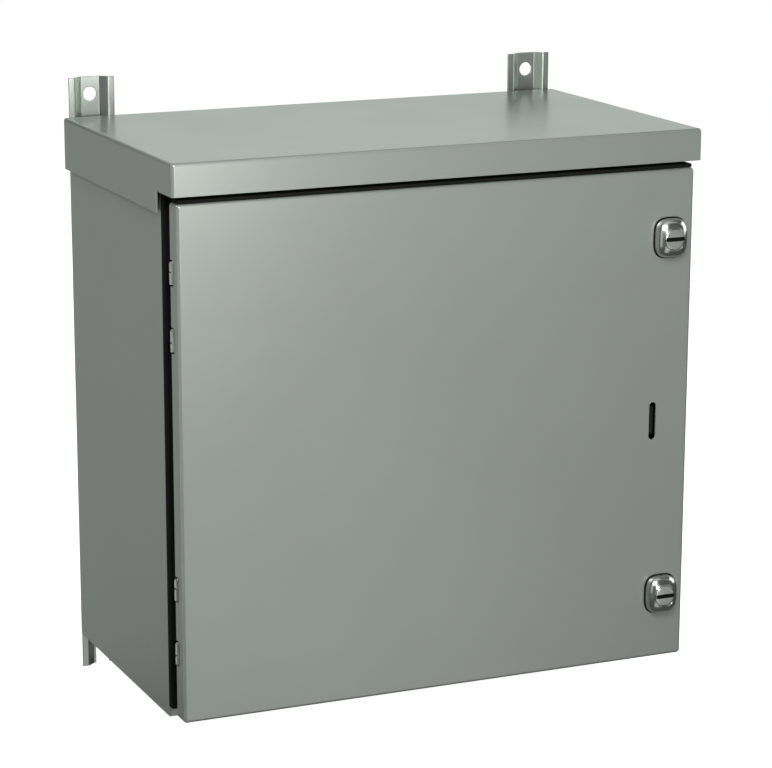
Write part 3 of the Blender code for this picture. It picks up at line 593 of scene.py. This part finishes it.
def body_wrapper():
    """One sheet bent into the top, the back, the bottom and the returns at the front."""
    half = SHEET / 2
    returned, back = BODY_FRONT + half, BODY_BACK - half
    top, bottom = BODY_TOP - half, BODY_BOTTOM + half
    corners = [(COLLAR_FRONT, COLLAR_TOP - half), (returned, COLLAR_TOP - half), (returned, top),
               (back, top), (back, bottom), (returned, bottom), (returned, COLLAR_BOTTOM + half),
               (COLLAR_FRONT, COLLAR_BOTTOM + half)]
    width = BODY_W - SHEET - GAP
    obj = start("body_wrapper", prism(sheet_outline(bent_path(corners, BEND - half), SHEET), "X",
                                      -width, width))
    for side in (-1, 1):
        edges = sorted((side * (COLLAR_X - SHEET - GAP), side * FAR))
        cut(obj, box(*edges, -FAR, BODY_FRONT + BEND + GAP, -FAR, FAR))
        drain = turned([(DRAIN_R, -0.05), (DRAIN_R, 0.004)], "Z", (side * DRAIN_X, DRAIN_Y), 24)
        cut(obj, drain)
    return finer("body_wrapper", obj, "painted_steel", edge=0.0003)


def drip_hood():
    """A pan cut off flush with the back, its front skirt cut short to clear the door."""
    half, past = HOOD_HIGH.x, BODY_BACK + 0.03
    obj = start("drip_hood", pan(-half, half, HOOD_LOW.y, past, "Z", HOOD_LOW.z, HOOD_HIGH.z,
                                 PAN_CORNER, BEND))
    cut(obj, pan(-half + SHEET, half - SHEET, HOOD_LOW.y + SHEET, past - SHEET, "Z",
                 HOOD_LOW.z - 0.01, HOOD_HIGH.z - SHEET, PAN_CORNER - SHEET, BEND - SHEET))
    cut(obj, box(-FAR, FAR, BODY_BACK, FAR, -FAR, FAR))
    cut(obj, box(-FAR, FAR, -FAR, BODY_FRONT, -FAR, HOOD_NOTCH))
    return finer("drip_hood", obj, "painted_steel", edge=0.0003)


def weld_marks(name, centre, top):
    """Spot-weld marks down both flanges, on the part that lies on the back wall."""
    first = HOOD_HIGH.z - WELD_INSET if top else BODY_BOTTOM + WELD_INSET
    step = -WELD_PITCH if top else WELD_PITCH
    flange_middle = BRACKET_WIDTH / 2 - BRACKET_FLANGE / 2 + WELD_OFF_CENTRE
    face = BODY_BACK + GAP + BRACKET_SHEET
    profile = [(0.0021, face - 0.0002), (0.0021, face), (0.0018, face + 0.00016),
               (0.0014, face + 0.00016), (0.0011, face + 0.00004), (0.0003, face + 0.00002)]
    marks = bmesh.new()
    for edge in (-1, 1):
        for k in range(WELDS):
            spot = (centre + edge * flange_middle, first + step * k)
            mark = turned(profile, "Y", spot, 24)
            mesh = bpy.data.meshes.new("mark")
            mark.to_mesh(mesh)
            marks.from_mesh(mesh)
            mark.free()
            bpy.data.meshes.remove(mesh)
    obj = as_object(name + "_weld_marks", marks)
    return finish_piece(obj, "cabinet", "painted_steel", look="bracket_coat_painted_light")


def wall_bracket(name, top):
    """A hat section: a round bolt hole in the upper ones, an open slot in the lower ones."""
    low, high = cad(name)
    wall_y, hole, past = high.y, BRACKET_HOLE_R, 0.01
    flange_y, web_y = BODY_BACK + GAP + BRACKET_SHEET / 2, wall_y - BRACKET_SHEET / 2
    centre, half = (low.x + high.x) / 2, BRACKET_WIDTH / 2
    corners = [(-half, flange_y), (-half + BRACKET_FLANGE, flange_y), (-BRACKET_WEB / 2, web_y),
               (BRACKET_WEB / 2, web_y), (half - BRACKET_FLANGE, flange_y), (half, flange_y)]
    path = [point + Vector((centre, 0.0)) for point in bent_path(corners, BRACKET_SHEET, 6)]
    obj = start(name, prism(sheet_outline(path, BRACKET_SHEET), "Z", low.z, high.z))
    hole_z = high.z - BRACKET_HOLE_INSET if top else low.z + BRACKET_HOLE_INSET
    cut(obj, turned([(hole, BODY_BACK - past), (hole, wall_y + past)], "Y", (centre, hole_z)))
    if not top:
        cut(obj, box(centre - hole, centre + hole, web_y - 0.004, wall_y + past,
                     low.z - past, hole_z))
    finer(name, obj, "painted_steel", edge=0.0003, look="bracket_coat_painted_light")
    weld_marks(name, centre, top)


def frame_seal():
    """Two ribs of foam round the opening, with a lip round each side wall's front bend. The black
    foam is partly a real seal and partly painted shade: it fills the trough and covers the bends so
    that the gap round the door reads dark.
    """
    low, high = cad("frame_seal")
    clear = BEND - SHEET + GAP
    inner = rounded(-COLLAR_X - clear, COLLAR_X + clear, COLLAR_BOTTOM - clear, COLLAR_TOP + clear,
                    0.0005)
    outer = rounded(low.x, high.x, low.z, high.z, 0.002)
    front, back = low.y, high.y
    dip = front + 0.0009
    profile = [(0.0, back), (0.0, front + 0.0006), (0.04, front + 0.0001), (0.12, front),
               (0.2, dip), (0.3, dip), (0.4, front), (0.52, front), (0.62, dip), (0.72, dip),
               (0.82, front), (0.94, front + 0.0001), (1.0, front + 0.0006), (1.0, back)]
    obj = start("frame_seal", band(inner, outer, "Y", profile))
    # Painted shade: the black lips wrap the side walls' front bends so that they read dark instead
    # of catching light.
    shade_lip_turn, shade_lip_width, shade_lip_end = 62, 0.0008, 0.002
    for side in (-1, 1):
        bend_x, bend_y = side * (BODY_W - SIDE_BEND), BODY_FRONT + SIDE_BEND
        lip = arc((bend_x, bend_y), SIDE_BEND + GAP, 270, 270 + side * shade_lip_turn, 8)
        shade_lip_x = lip[-1][0]
        root_x = side * (BODY_W - SIDE_BEND - 0.0012)
        outline = lip + [(shade_lip_x, front + 0.0012), (shade_lip_x - side * shade_lip_width, front + GAP),
                         (root_x, front + GAP), (root_x, BODY_FRONT - GAP)]
        join(obj, prism(outline, "Z", low.z + shade_lip_end, high.z - shade_lip_end))
    return finer("frame_seal", obj, "black_rubber")


# ---------------------------------------------------------------- door

HINGES = {level: [corner.z for corner in cad(f"hinge_{level}_body_leaf")]
          for level in ("upper", "lower")}
PAIR = OUTER_KNUCKLE + KNUCKLE_GAP + INNER_KNUCKLE


def knuckle_pairs(level):
    """The lowest and highest point of each of a hinge's two pairs of knuckles."""
    low, high = HINGES[level]
    return (low, low + PAIR), (high - PAIR, high)


LATCHES = {level: sum(corner.z for corner in cad(f"latch_{level}_cap")) / 2
           for level in ("upper", "lower")}


def door_panel():
    """A pan with notches for the knuckles, holes for the latches and the padlock slot."""
    past = 0.01
    obj = start("door_panel", pan(-DOOR_W, DOOR_W, 0.0, DOOR_H, "Y", DOOR_D, 0.0, PAN_CORNER, BEND))
    cut(obj, pan(-DOOR_W + SHEET, DOOR_W - SHEET, SHEET, DOOR_H - SHEET, "Y", DOOR_D + past, SHEET,
                 PAN_CORNER - SHEET, BEND - SHEET))
    for level in HINGES:
        for low, high in knuckle_pairs(level):
            cut(obj, box(-DOOR_W - past, -DOOR_W + NOTCH_DEPTH, HINGE_Y - KNUCKLE_R - 0.0005,
                         DOOR_D + past, low - NOTCH_MARGIN, high + NOTCH_MARGIN))
    for height in LATCHES.values():
        cut(obj, turned([(SHANK_R + GAP, -past), (SHANK_R + GAP, past)], "Y", (LATCH_X, height)))
    slot = obround(STAPLE_X, STAPLE_Z, PADLOCK_SLOT_WIDTH, PADLOCK_SLOT_HEIGHT)
    cut(obj, prism(slot, "Y", -past, past))
    return finer("door_panel", obj, "painted_steel", edge=0.00028)


def door_gasket():
    """A foam strip with two soft ridges, which the frame's collar presses."""
    low, high = cad("door_gasket")
    inner_x, inside = COLLAR_X - SHEET - 0.0001, 0.0035
    inner = rounded(-inner_x, inner_x, COLLAR_BOTTOM + inside, COLLAR_TOP - inside, 0.002)
    outer = rounded(low.x, high.x, low.z, high.z, 0.006)
    base, crown = low.y, high.y
    profile = [(0.0, base), (0.0, base + 0.0022), (0.05, base + 0.0038), (0.14, crown - 0.0006),
               (0.26, crown - 0.0001), (0.34, crown), (0.42, crown - 0.0007),
               (0.58, crown - 0.0007), (0.66, crown), (0.76, crown - 0.0002),
               (0.88, crown - 0.0009), (0.96, base + 0.0034), (1.0, base + 0.0018), (1.0, base)]
    obj = start("door_gasket", band(inner, outer, "Y", profile))
    return finer("door_gasket", obj, "black_rubber")


def door_top_seal():
    """A ribbed rubber strip along the door's top flange; its black is partly a real seal and partly
    painted shade for the gap under the hood.
    """
    low, high = cad("door_top_seal")
    ridges, chamfer = 4, 0.0004
    ridge = ((0.12, -0.0002), (0.3, 0.0), (0.5, 0.0), (0.7, -0.0002), (0.88, -0.0009))
    width = high.y - low.y
    outline = [(low.y + chamfer, low.z), (low.y, low.z + chamfer), (low.y, high.z - 0.0010)]
    for k in range(ridges):
        for share, height in ridge:
            outline.append((low.y + width * (k + share) / ridges, high.z + height))
    outline += [(high.y, high.z - 0.0012), (high.y, low.z + chamfer), (high.y - chamfer, low.z)]
    obj = start("door_top_seal", prism(outline, "X", low.x, high.x))
    return finer("door_top_seal", obj, "black_rubber", angle=60)


# ---------------------------------------------------------------- hinges

KNUCKLE_WALL = KNUCKLE_R - KNUCKLE_BORE


def curl(begin, end, tail):
    """The outline of a leaf: its flat tail and the knuckle curled round the pin."""
    radius = (KNUCKLE_R + KNUCKLE_BORE) / 2
    return sheet_outline(tail + arc((HINGE_X, HINGE_Y), radius, begin, end, 36), KNUCKLE_WALL)


def hinge_body_leaf(level):
    name = f"hinge_{level}_body_leaf"
    low, high = HINGES[level]
    half = KNUCKLE_WALL / 2
    strip = -COLLAR_X - GAP - half
    arm = HINGE_Y + KNUCKLE_R - half
    outline = curl(90, 350, [(strip, BODY_LEAF_REAR), (strip, arm)])
    obj = start(name, prism(outline, "Z", low, low + OUTER_KNUCKLE))
    join(obj, prism(outline, "Z", high - OUTER_KNUCKLE, high))
    join(obj, box(strip - half, strip + half, arm + 0.001, BODY_LEAF_REAR, low, high))
    return finer(name, obj, "zinc_steel", edge=0.00012)


def hinge_door_leaf(level):
    """The leaf on the door's flange, kept in one piece by a rib between its knuckles."""
    name = f"hinge_{level}_door_leaf"
    half = KNUCKLE_WALL / 2
    strip = HINGE_X + KNUCKLE_R - half
    low = HINGES[level][0] + OUTER_KNUCKLE + KNUCKLE_GAP
    high = HINGES[level][1] - OUTER_KNUCKLE - KNUCKLE_GAP
    outline = curl(0, 260, [(strip, DOOR_LEAF_FRONT)])
    obj = start(name, prism(outline, "Z", low, low + INNER_KNUCKLE))
    join(obj, prism(outline, "Z", high - INNER_KNUCKLE, high))
    join(obj, box(strip - half, strip + half, DOOR_LEAF_FRONT, HINGE_Y - 0.0026, low, high))
    rib = 0.003 + INNER_KNUCKLE
    join(obj, box(strip - half, strip + half, HINGE_Y - 0.005, RIB_REAR, low + rib, high - rib))
    return finer(name, obj, "zinc_steel", edge=0.00012)


def hinge_pin(name):
    """A short pin with a domed head on top and a chamfered tip."""
    low, high = cad(name)
    r, head, top = PIN_R, PIN_HEAD_R, high.z
    seat = top - PIN_HEAD_DROP + GAP
    rim = seat + 0.0005
    profile = [(r - 0.0005, low.z), (r - 0.0001, low.z + 0.0003), (r, low.z + 0.0006), (r, seat),
               (head - 0.0002, seat), (head, seat + 0.0002), (head, rim)]
    profile += [(head * math.cos(a), rim + (top - rim) * math.sin(a))
                for a in (0.3, 0.6, 0.9, 1.2, 1.45)]
    obj = start(name, turned(profile, "Z", (HINGE_X, HINGE_Y), 32))
    return finer(name, obj, "zinc_steel", angle=50)


# ---------------------------------------------------------------- latches

def dome_y(u, v):
    """Where the latch cap's pillow surface lies at a point of its face."""
    reach = (abs(u / LATCH_W) ** CORNER_POWER
             + abs(v / LATCH_H) ** CORNER_POWER) ** (1 / CORNER_POWER)
    rise = max(0.0, 1 - reach ** DOME_POWER) ** (1 / DOME_POWER)
    return LATCH_BASE + (DOME_FRONT - LATCH_BASE) * rise


def latch_cap(level):
    """A pillow-shaped shell round a flat driver, with a hollow shank behind."""
    name, height = f"latch_{level}_cap", LATCHES[level]
    hole, bore = DRIVER_R + GAP, SPINDLE_R + GAP
    rim = superellipse(LATCH_W, LATCH_H, CORNER_POWER, LATCH_COUNT)
    mouth = circle((0, 0), hole + 0.0004, LATCH_COUNT)
    rings = []
    for t in (0.0, 0.002, 0.008, 0.02, 0.04, 0.07, 0.11, 0.16, 0.23, 0.32, 0.43, 0.56, 0.7, 0.84,
              0.95, 1.0):
        ring = []
        for (u, v), (p, q) in zip(rim, mouth):
            a, b = u + (p - u) * t, v + (q - v) * t
            ring.append(place("Y", (LATCH_X + a, height + b), dome_y(a, b)))
        rings.append(ring)
    lip = min(point.y for point in rings[-1])
    inward = [(hole + 0.0001, lip + 0.0002), (hole, lip + 0.0006), (hole, RECESS_FLOOR),
              (bore, RECESS_FLOOR), (bore, SHANK_END), (SHANK_R - 0.0004, SHANK_END),
              (SHANK_R, SHANK_END - 0.0004), (SHANK_R, LATCH_BASE)]
    rings += [[place("Y", point, depth) for point in circle((LATCH_X, height), radius, LATCH_COUNT)]
              for radius, depth in inward]
    return finer(name, start(name, loft(rings, closed=True)), "chrome", angle=50)


def latch_gasket(level):
    name, height = f"latch_{level}_gasket", LATCHES[level]
    outer = [(LATCH_X + u, height + v)
             for u, v in superellipse(LATCH_W + GASKET_MARGIN, LATCH_H + GASKET_MARGIN,
                                      CORNER_POWER, LATCH_COUNT)]
    inner = circle((LATCH_X, height), SHANK_R + GAP, LATCH_COUNT)
    front, back = LATCH_BASE + GAP, -GAP
    profile = [(0.0, back), (0.0, front), (0.93, front), (0.98, front + 0.0002),
               (1.0, (front + back) / 2), (0.98, back)]
    return finer(name, start(name, band(inner, outer, "Y", profile)), "black_rubber", angle=60)


def coin_slot(height, wall, front, back):
    """A block the shape of the coin slot, smaller all round by wall."""
    half_length, half_width = COIN_HALF_LENGTH - wall, COIN_HALF_WIDTH - wall
    return prism(rounded(LATCH_X - half_length, LATCH_X + half_length, height - half_width,
                         height + half_width, COIN_CORNER - wall), "Y", front, back)


def latch_driver(level):
    """A crowned disc with a coin slot, on a spindle; the slot has a black lining of its own,
    painted shade that makes the shallow slot look deep and dark.
    """
    name, height = f"latch_{level}_driver", LATCHES[level]
    face, floor, tail = LATCH_FRONT, RECESS_FLOOR - GAP, cad(name)[1].y
    profile = [(0.0004, face), (0.003, face + 0.00003), (0.006, face + 0.00012),
               (0.0088, face + 0.00026), (0.0097, face + 0.0004),
               (DRIVER_R - 0.0001, face + 0.0006), (DRIVER_R, face + 0.0009), (DRIVER_R, floor),
               (SPINDLE_R, floor), (SPINDLE_R, tail - 0.0005), (SPINDLE_R - 0.0005, tail)]
    obj = start(name, turned(profile, "Y", (LATCH_X, height), LATCH_COUNT))
    cut(obj, coin_slot(height, 0.0, -0.03, COIN_FLOOR))
    # Painted shade: the black lining darkens the slot's walls and floor, which would otherwise show
    # bright chrome.
    shade_lining = as_object(name + "_slot_painted_shade", coin_slot(height, 0.0, face + 0.0007, COIN_FLOOR))
    cut(shade_lining, coin_slot(height, SLOT_SHADE_WALL, face - 0.01, COIN_FLOOR - SLOT_SHADE_WALL))
    finish_piece(shade_lining, BODY_OF[name], "black_steel")
    return finer(name, obj, "chrome", edge=0.00015)


def middle(low, high):
    return (low.x + high.x) / 2, (low.z + high.z) / 2


def nut(node, across, bore):
    """A hexagon with turned-off corners at both ends and a chamfered bore."""
    low, high = cad(node)
    front, back, centre = low.y, high.y, middle(low, high)
    corner, flat = across / 2 / math.cos(math.pi / 6), across / 2
    rise, wide, chamfer, past = (corner - flat) * 0.55, corner + 0.0001, 0.0006, 0.001
    obj = start(node, prism(hexagon(centre, across), "Y", front, back))
    combine(obj, turned([(flat - 0.0002, front), (wide, front + rise), (wide, back - rise),
                         (flat - 0.0002, back)], "Y", centre, 96), "INTERSECT")
    cut(obj, turned([(bore + chamfer, front - past), (bore + chamfer, front),
                     (bore, front + chamfer), (bore, back - chamfer), (bore + chamfer, back),
                     (bore + chamfer, back + past)], "Y", centre))
    return finer(node, obj, "zinc_steel", edge=0.0001, angle=28)


def latch_cam(level):
    """A flat arm that hangs from the spindle, wider round its hole."""
    name, height = f"latch_{level}_cam", LATCHES[level]
    low, high = cad(name)
    past, hole = 0.01, SPINDLE_R + GAP
    outline = (arc((LATCH_X, height), CAM_HALF_WIDTH + CAM_BOSS_MARGIN, 0, 180, 24)
               + arc((LATCH_X, low.z + CAM_HALF_WIDTH), CAM_HALF_WIDTH, 180, 360, 20))
    obj = start(name, prism(outline, "Y", low.y, high.y))
    cut(obj, turned([(hole, low.y - past), (hole, high.y + past)], "Y", (LATCH_X, height)))
    return finer(name, obj, "zinc_steel", edge=0.0003)


# ---------------------------------------------------------------- staple and inside

def padlock_staple():
    """A flat bar with a padlock eye at its front and a taller tail that stops it in the guide. Its
    black is partly a real black finish and partly painted shade seen through the padlock slot.
    """
    low, high = STAPLE_LOW, STAPLE_HIGH
    past = 0.01
    bar = rounded(low.y, high.y, STAPLE_Z - STAPLE_HALF_HEIGHT, STAPLE_Z + STAPLE_HALF_HEIGHT,
                  STAPLE_CORNER)
    obj = start("padlock_staple", prism(bar, "X", low.x, high.x))
    join(obj, box(low.x, high.x, high.y - STAPLE_TAIL, high.y - 0.0005, low.z, high.z))
    cut(obj, turned([(EYE_R, STAPLE_X - past), (EYE_R, STAPLE_X + past)], "X",
                    (low.y + EYE_INSET, STAPLE_Z)))
    return finer("padlock_staple", obj, "black_steel", edge=0.0004)


def staple_guide():
    """A sleeve for the staple, on a web and a foot that stands on the collar. Its black is partly a
    real black finish and partly painted shade seen through the padlock slot.
    """
    low, high = cad("staple_guide")
    foot, half = high.x, GUIDE_SHEET / 2
    obj = start("staple_guide", box(STAPLE_X - GUIDE_HALF_WIDTH, STAPLE_X + GUIDE_HALF_WIDTH,
                                    low.y + 0.0001, high.y - 0.0001,
                                    STAPLE_Z - GUIDE_HALF_HEIGHT, STAPLE_Z + GUIDE_HALF_HEIGHT))
    join(obj, box(STAPLE_X, foot, low.y + 0.0002, high.y - 0.0002,
                  STAPLE_Z - half, STAPLE_Z + half))
    join(obj, box(foot - GUIDE_SHEET, foot, low.y, high.y, low.z, high.z))
    cut(obj, box(STAPLE_X - PASSAGE_HALF_WIDTH, STAPLE_X + PASSAGE_HALF_WIDTH, -FAR, FAR,
                 STAPLE_Z - PASSAGE_HALF_HEIGHT, STAPLE_Z + PASSAGE_HALF_HEIGHT))
    return finer("staple_guide", obj, "black_steel", edge=0.0003)


STUDS = {k: cad(f"panel_stud_{k}") for k in (1, 2, 3, 4)}


def mounting_panel():
    """A tray with two turned edges, a hole for each stud and a shallow seat for each nut."""
    low, high = PANEL_LOW, PANEL_HIGH
    back, edge = high.y - SHEET / 2, high.x - SHEET / 2
    path = bent_path([(-edge, low.y), (-edge, back), (edge, back), (edge, low.y)],
                     BEND - SHEET / 2)
    obj = start("mounting_panel", prism(sheet_outline(path, SHEET), "Z", low.z, high.z))
    face, past = high.y - SHEET, 0.01
    floor = face + NUT_SEAT_DEPTH
    for corners in STUDS.values():
        cut(obj, turned([(NUT_SEAT_R, face - past), (NUT_SEAT_R, floor - 0.0001),
                         (NUT_SEAT_R - 0.0004, floor), (PANEL_HOLE_R, floor),
                         (PANEL_HOLE_R, high.y + past)], "Y", middle(*corners)))
    return finer("mounting_panel", obj, "white_steel", edge=0.0004)


def panel_stud(k):
    """A collar stud on the back wall; the panel sits on its collar."""
    name, r = f"panel_stud_{k}", PANEL_STUD_R
    low, high = STUDS[k]
    seat, collar, chamfer, tip = PANEL_HIGH.y + GAP, (high.x - low.x) / 2, 0.0005, 0.0004
    head = [(collar, high.y), (collar, seat + chamfer), (collar - chamfer, seat), (r, seat),
            (r, seat - 0.002)]
    obj = start(name, threaded(r, PANEL_STUD_PITCH, seat - 0.003, low.y + tip,
                               middle(low, high), head))
    return finer(name, obj, "zinc_steel", angle=60)


def earth_stud(name, toward):
    """A flanged stud that points away from its sheet: toward is 1 or -1 along Y."""
    low, high = cad(name)
    r, flange, tip = EARTH_STUD_R, (high.x - low.x) / 2, 0.0004
    wall, end = (low.y, high.y) if toward > 0 else (high.y, low.y)
    top = wall + toward * 0.0015
    head = [(flange, wall), (flange, wall + toward * 0.0011), (flange - 0.0004, top), (r, top),
            (r, wall + toward * 0.003)]
    obj = start(name, threaded(r, EARTH_STUD_PITCH, wall + toward * 0.0036, end - toward * tip,
                               middle(low, high), head))
    return finer(name, obj, "zinc_steel", angle=60)


def washer(node):
    low, high = cad(node)
    outer = circle(middle(low, high), (high.x - low.x) / 2)
    inner = circle(middle(low, high), EARTH_BORE)
    chamfer = 0.0002
    profile = [(0.0, high.y), (0.0, low.y), (0.95, low.y), (1.0, low.y + chamfer),
               (1.0, high.y - chamfer), (0.95, high.y)]
    return finer(node, start(node, band(inner, outer, "Y", profile)), "zinc_steel", angle=60)


# ---------------------------------------------------------------- the whole cabinet

for word, side in (("left", -1), ("right", 1)):
    body_side(f"body_side_{word}", side)
    wall_bracket(f"wall_bracket_top_{word}", top=True)
    wall_bracket(f"wall_bracket_bottom_{word}", top=False)
body_wrapper()
drip_hood()
frame_seal()
door_panel()
door_gasket()
door_top_seal()
for level in ("upper", "lower"):
    hinge_body_leaf(level)
    hinge_door_leaf(level)
    for end in ("top", "bottom"):
        hinge_pin(f"hinge_{level}_pin_{end}")
    latch_cap(level)
    latch_gasket(level)
    latch_driver(level)
    nut(f"latch_{level}_nut", LATCH_NUT, SHANK_R + GAP)
    latch_cam(level)
    nut(f"latch_{level}_cam_nut", CAM_NUT, SPINDLE_R + GAP)
padlock_staple()
staple_guide()
mounting_panel()
for k in STUDS:
    panel_stud(k)
    nut(f"panel_nut_{k}", PANEL_NUT, PANEL_NUT_BORE)
earth_stud("body_earth_stud", toward=-1)
earth_stud("door_earth_stud", toward=1)
for part in ("body", "door"):
    washer(f"{part}_earth_washer")
    nut(f"{part}_earth_nut", EARTH_NUT, EARTH_BORE)


# ---------------------------------------------------------------- floor, light and camera

FLOOR_HALF, FLOOR_TOP, FLOOR_BOTTOM = 90.0, -0.0005, -0.05
FLOOR_GLOW, WORLD_STRENGTH = 0.93, 0.08
WHITE = (1.0, 1.0, 1.0, 1.0)
SENSOR, LENS, SHIFT_X, SHIFT_Y = 36.0, 133.24, 0.0792, 0.0715
CAMERA_SPOT = (-1.0662, -2.4257, 0.9345)
CAMERA_YAW, CAMERA_PITCH, CAMERA_ROLL = math.radians(-22.622), math.radians(90 - 14.612), -0.0025


def floor():
    """A pale floor that glows evenly and doesn't light, shade or mirror the cabinet."""
    half = FLOOR_HALF
    obj = as_object("floor", prism([(-half, -half), (half, -half), (half, half), (-half, half)],
                                   "Z", FLOOR_BOTTOM, FLOOR_TOP))
    n = Nodes("pale_floor")
    tone = n.blend(n.noise(3.0, 3.0), (0.88, 0.88, 0.88), (0.92, 0.92, 0.92))
    n.link(tone, n.shader.inputs["Base Color"])
    n.set(Roughness=0.9, Emission_Color=WHITE, Emission_Strength=FLOOR_GLOW)
    obj.data.materials.append(n.material)
    obj.visible_diffuse = False
    obj.visible_glossy = False
    obj.visible_shadow = False


def softbox(name, spot, size, power, target=(0.0, 0.0, 0.3)):
    lamp = bpy.data.lights.new(name, "AREA")
    lamp.shape = "RECTANGLE"
    lamp.size, lamp.size_y = size
    lamp.energy = power
    obj = bpy.data.objects.new(name, lamp)
    bpy.context.scene.collection.objects.link(obj)
    obj.location = spot
    aim = Vector(target) - Vector(spot)
    obj.rotation_euler = aim.to_track_quat("-Z", "Y").to_euler()


def camera():
    data = bpy.data.cameras.new("camera")
    data.sensor_width, data.lens = SENSOR, LENS
    data.shift_x, data.shift_y = SHIFT_X, SHIFT_Y
    obj = bpy.data.objects.new("camera", data)
    bpy.context.scene.collection.objects.link(obj)
    turn = Matrix.Rotation(CAMERA_YAW, 4, "Z") @ Matrix.Rotation(CAMERA_PITCH, 4, "X")
    obj.matrix_world = (Matrix.Translation(CAMERA_SPOT) @ turn
                        @ Matrix.Rotation(CAMERA_ROLL, 4, "Z"))
    bpy.context.scene.camera = obj


world = bpy.data.worlds.new("studio")
world.use_nodes = True
world.node_tree.nodes["Background"].inputs["Color"].default_value = WHITE
world.node_tree.nodes["Background"].inputs["Strength"].default_value = WORLD_STRENGTH
bpy.context.scene.world = world
bpy.context.scene.view_settings.view_transform = "Standard"

floor()
softbox("backdrop", (1.2, 2.7, 1.2), size=(3.0, 1.2), power=10.2, target=(0.0, 0.1, 0.5))
softbox("front", (0.1, -2.2, 0.45), size=(0.5, 0.5), power=9.8)
softbox("panel", (0.8, -2.0, -0.1), size=(1.6, 1.4), power=2.2)
softbox("low", (0.2, -1.3, -0.5), size=(0.9, 0.9), power=1.1)
softbox("left", (-1.5, 0.3, 0.0), size=(0.8, 0.8), power=2.2)
softbox("left high", (-1.1, 0.7, 1.3), size=(0.4, 0.4), power=5.5, target=(-0.25, 0.1, 0.3))
softbox("left front", (-1.3, -1.0, 0.3), size=(0.8, 1.2), power=1.4, target=(0.0, 0.0, 0.4))
softbox("rear left", (-1.0, 2.2, -0.2), size=(1.2, 1.2), power=1.7)
softbox("rear", (0.5, 2.3, 0.15), size=(1.6, 0.6), power=4.0, target=(0.0, 0.15, 0.25))
softbox("key", (-0.45, -1.1, 1.15), size=(0.5, 0.5), power=10.8)
softbox("glint left", (-0.35, -1.1, 1.2), size=(1.3, 1.1), power=8.0, target=(0.2, -0.15, 0.4))
softbox("glint right", (1.37, -0.28, 0.78), size=(0.9, 0.9), power=4.4, target=(0.2, -0.15, 0.4))
softbox("top", (0.3, -0.5, 1.9), size=(1.4, 1.0), power=2.3, target=(0.2, -0.1, 0.4))
camera()
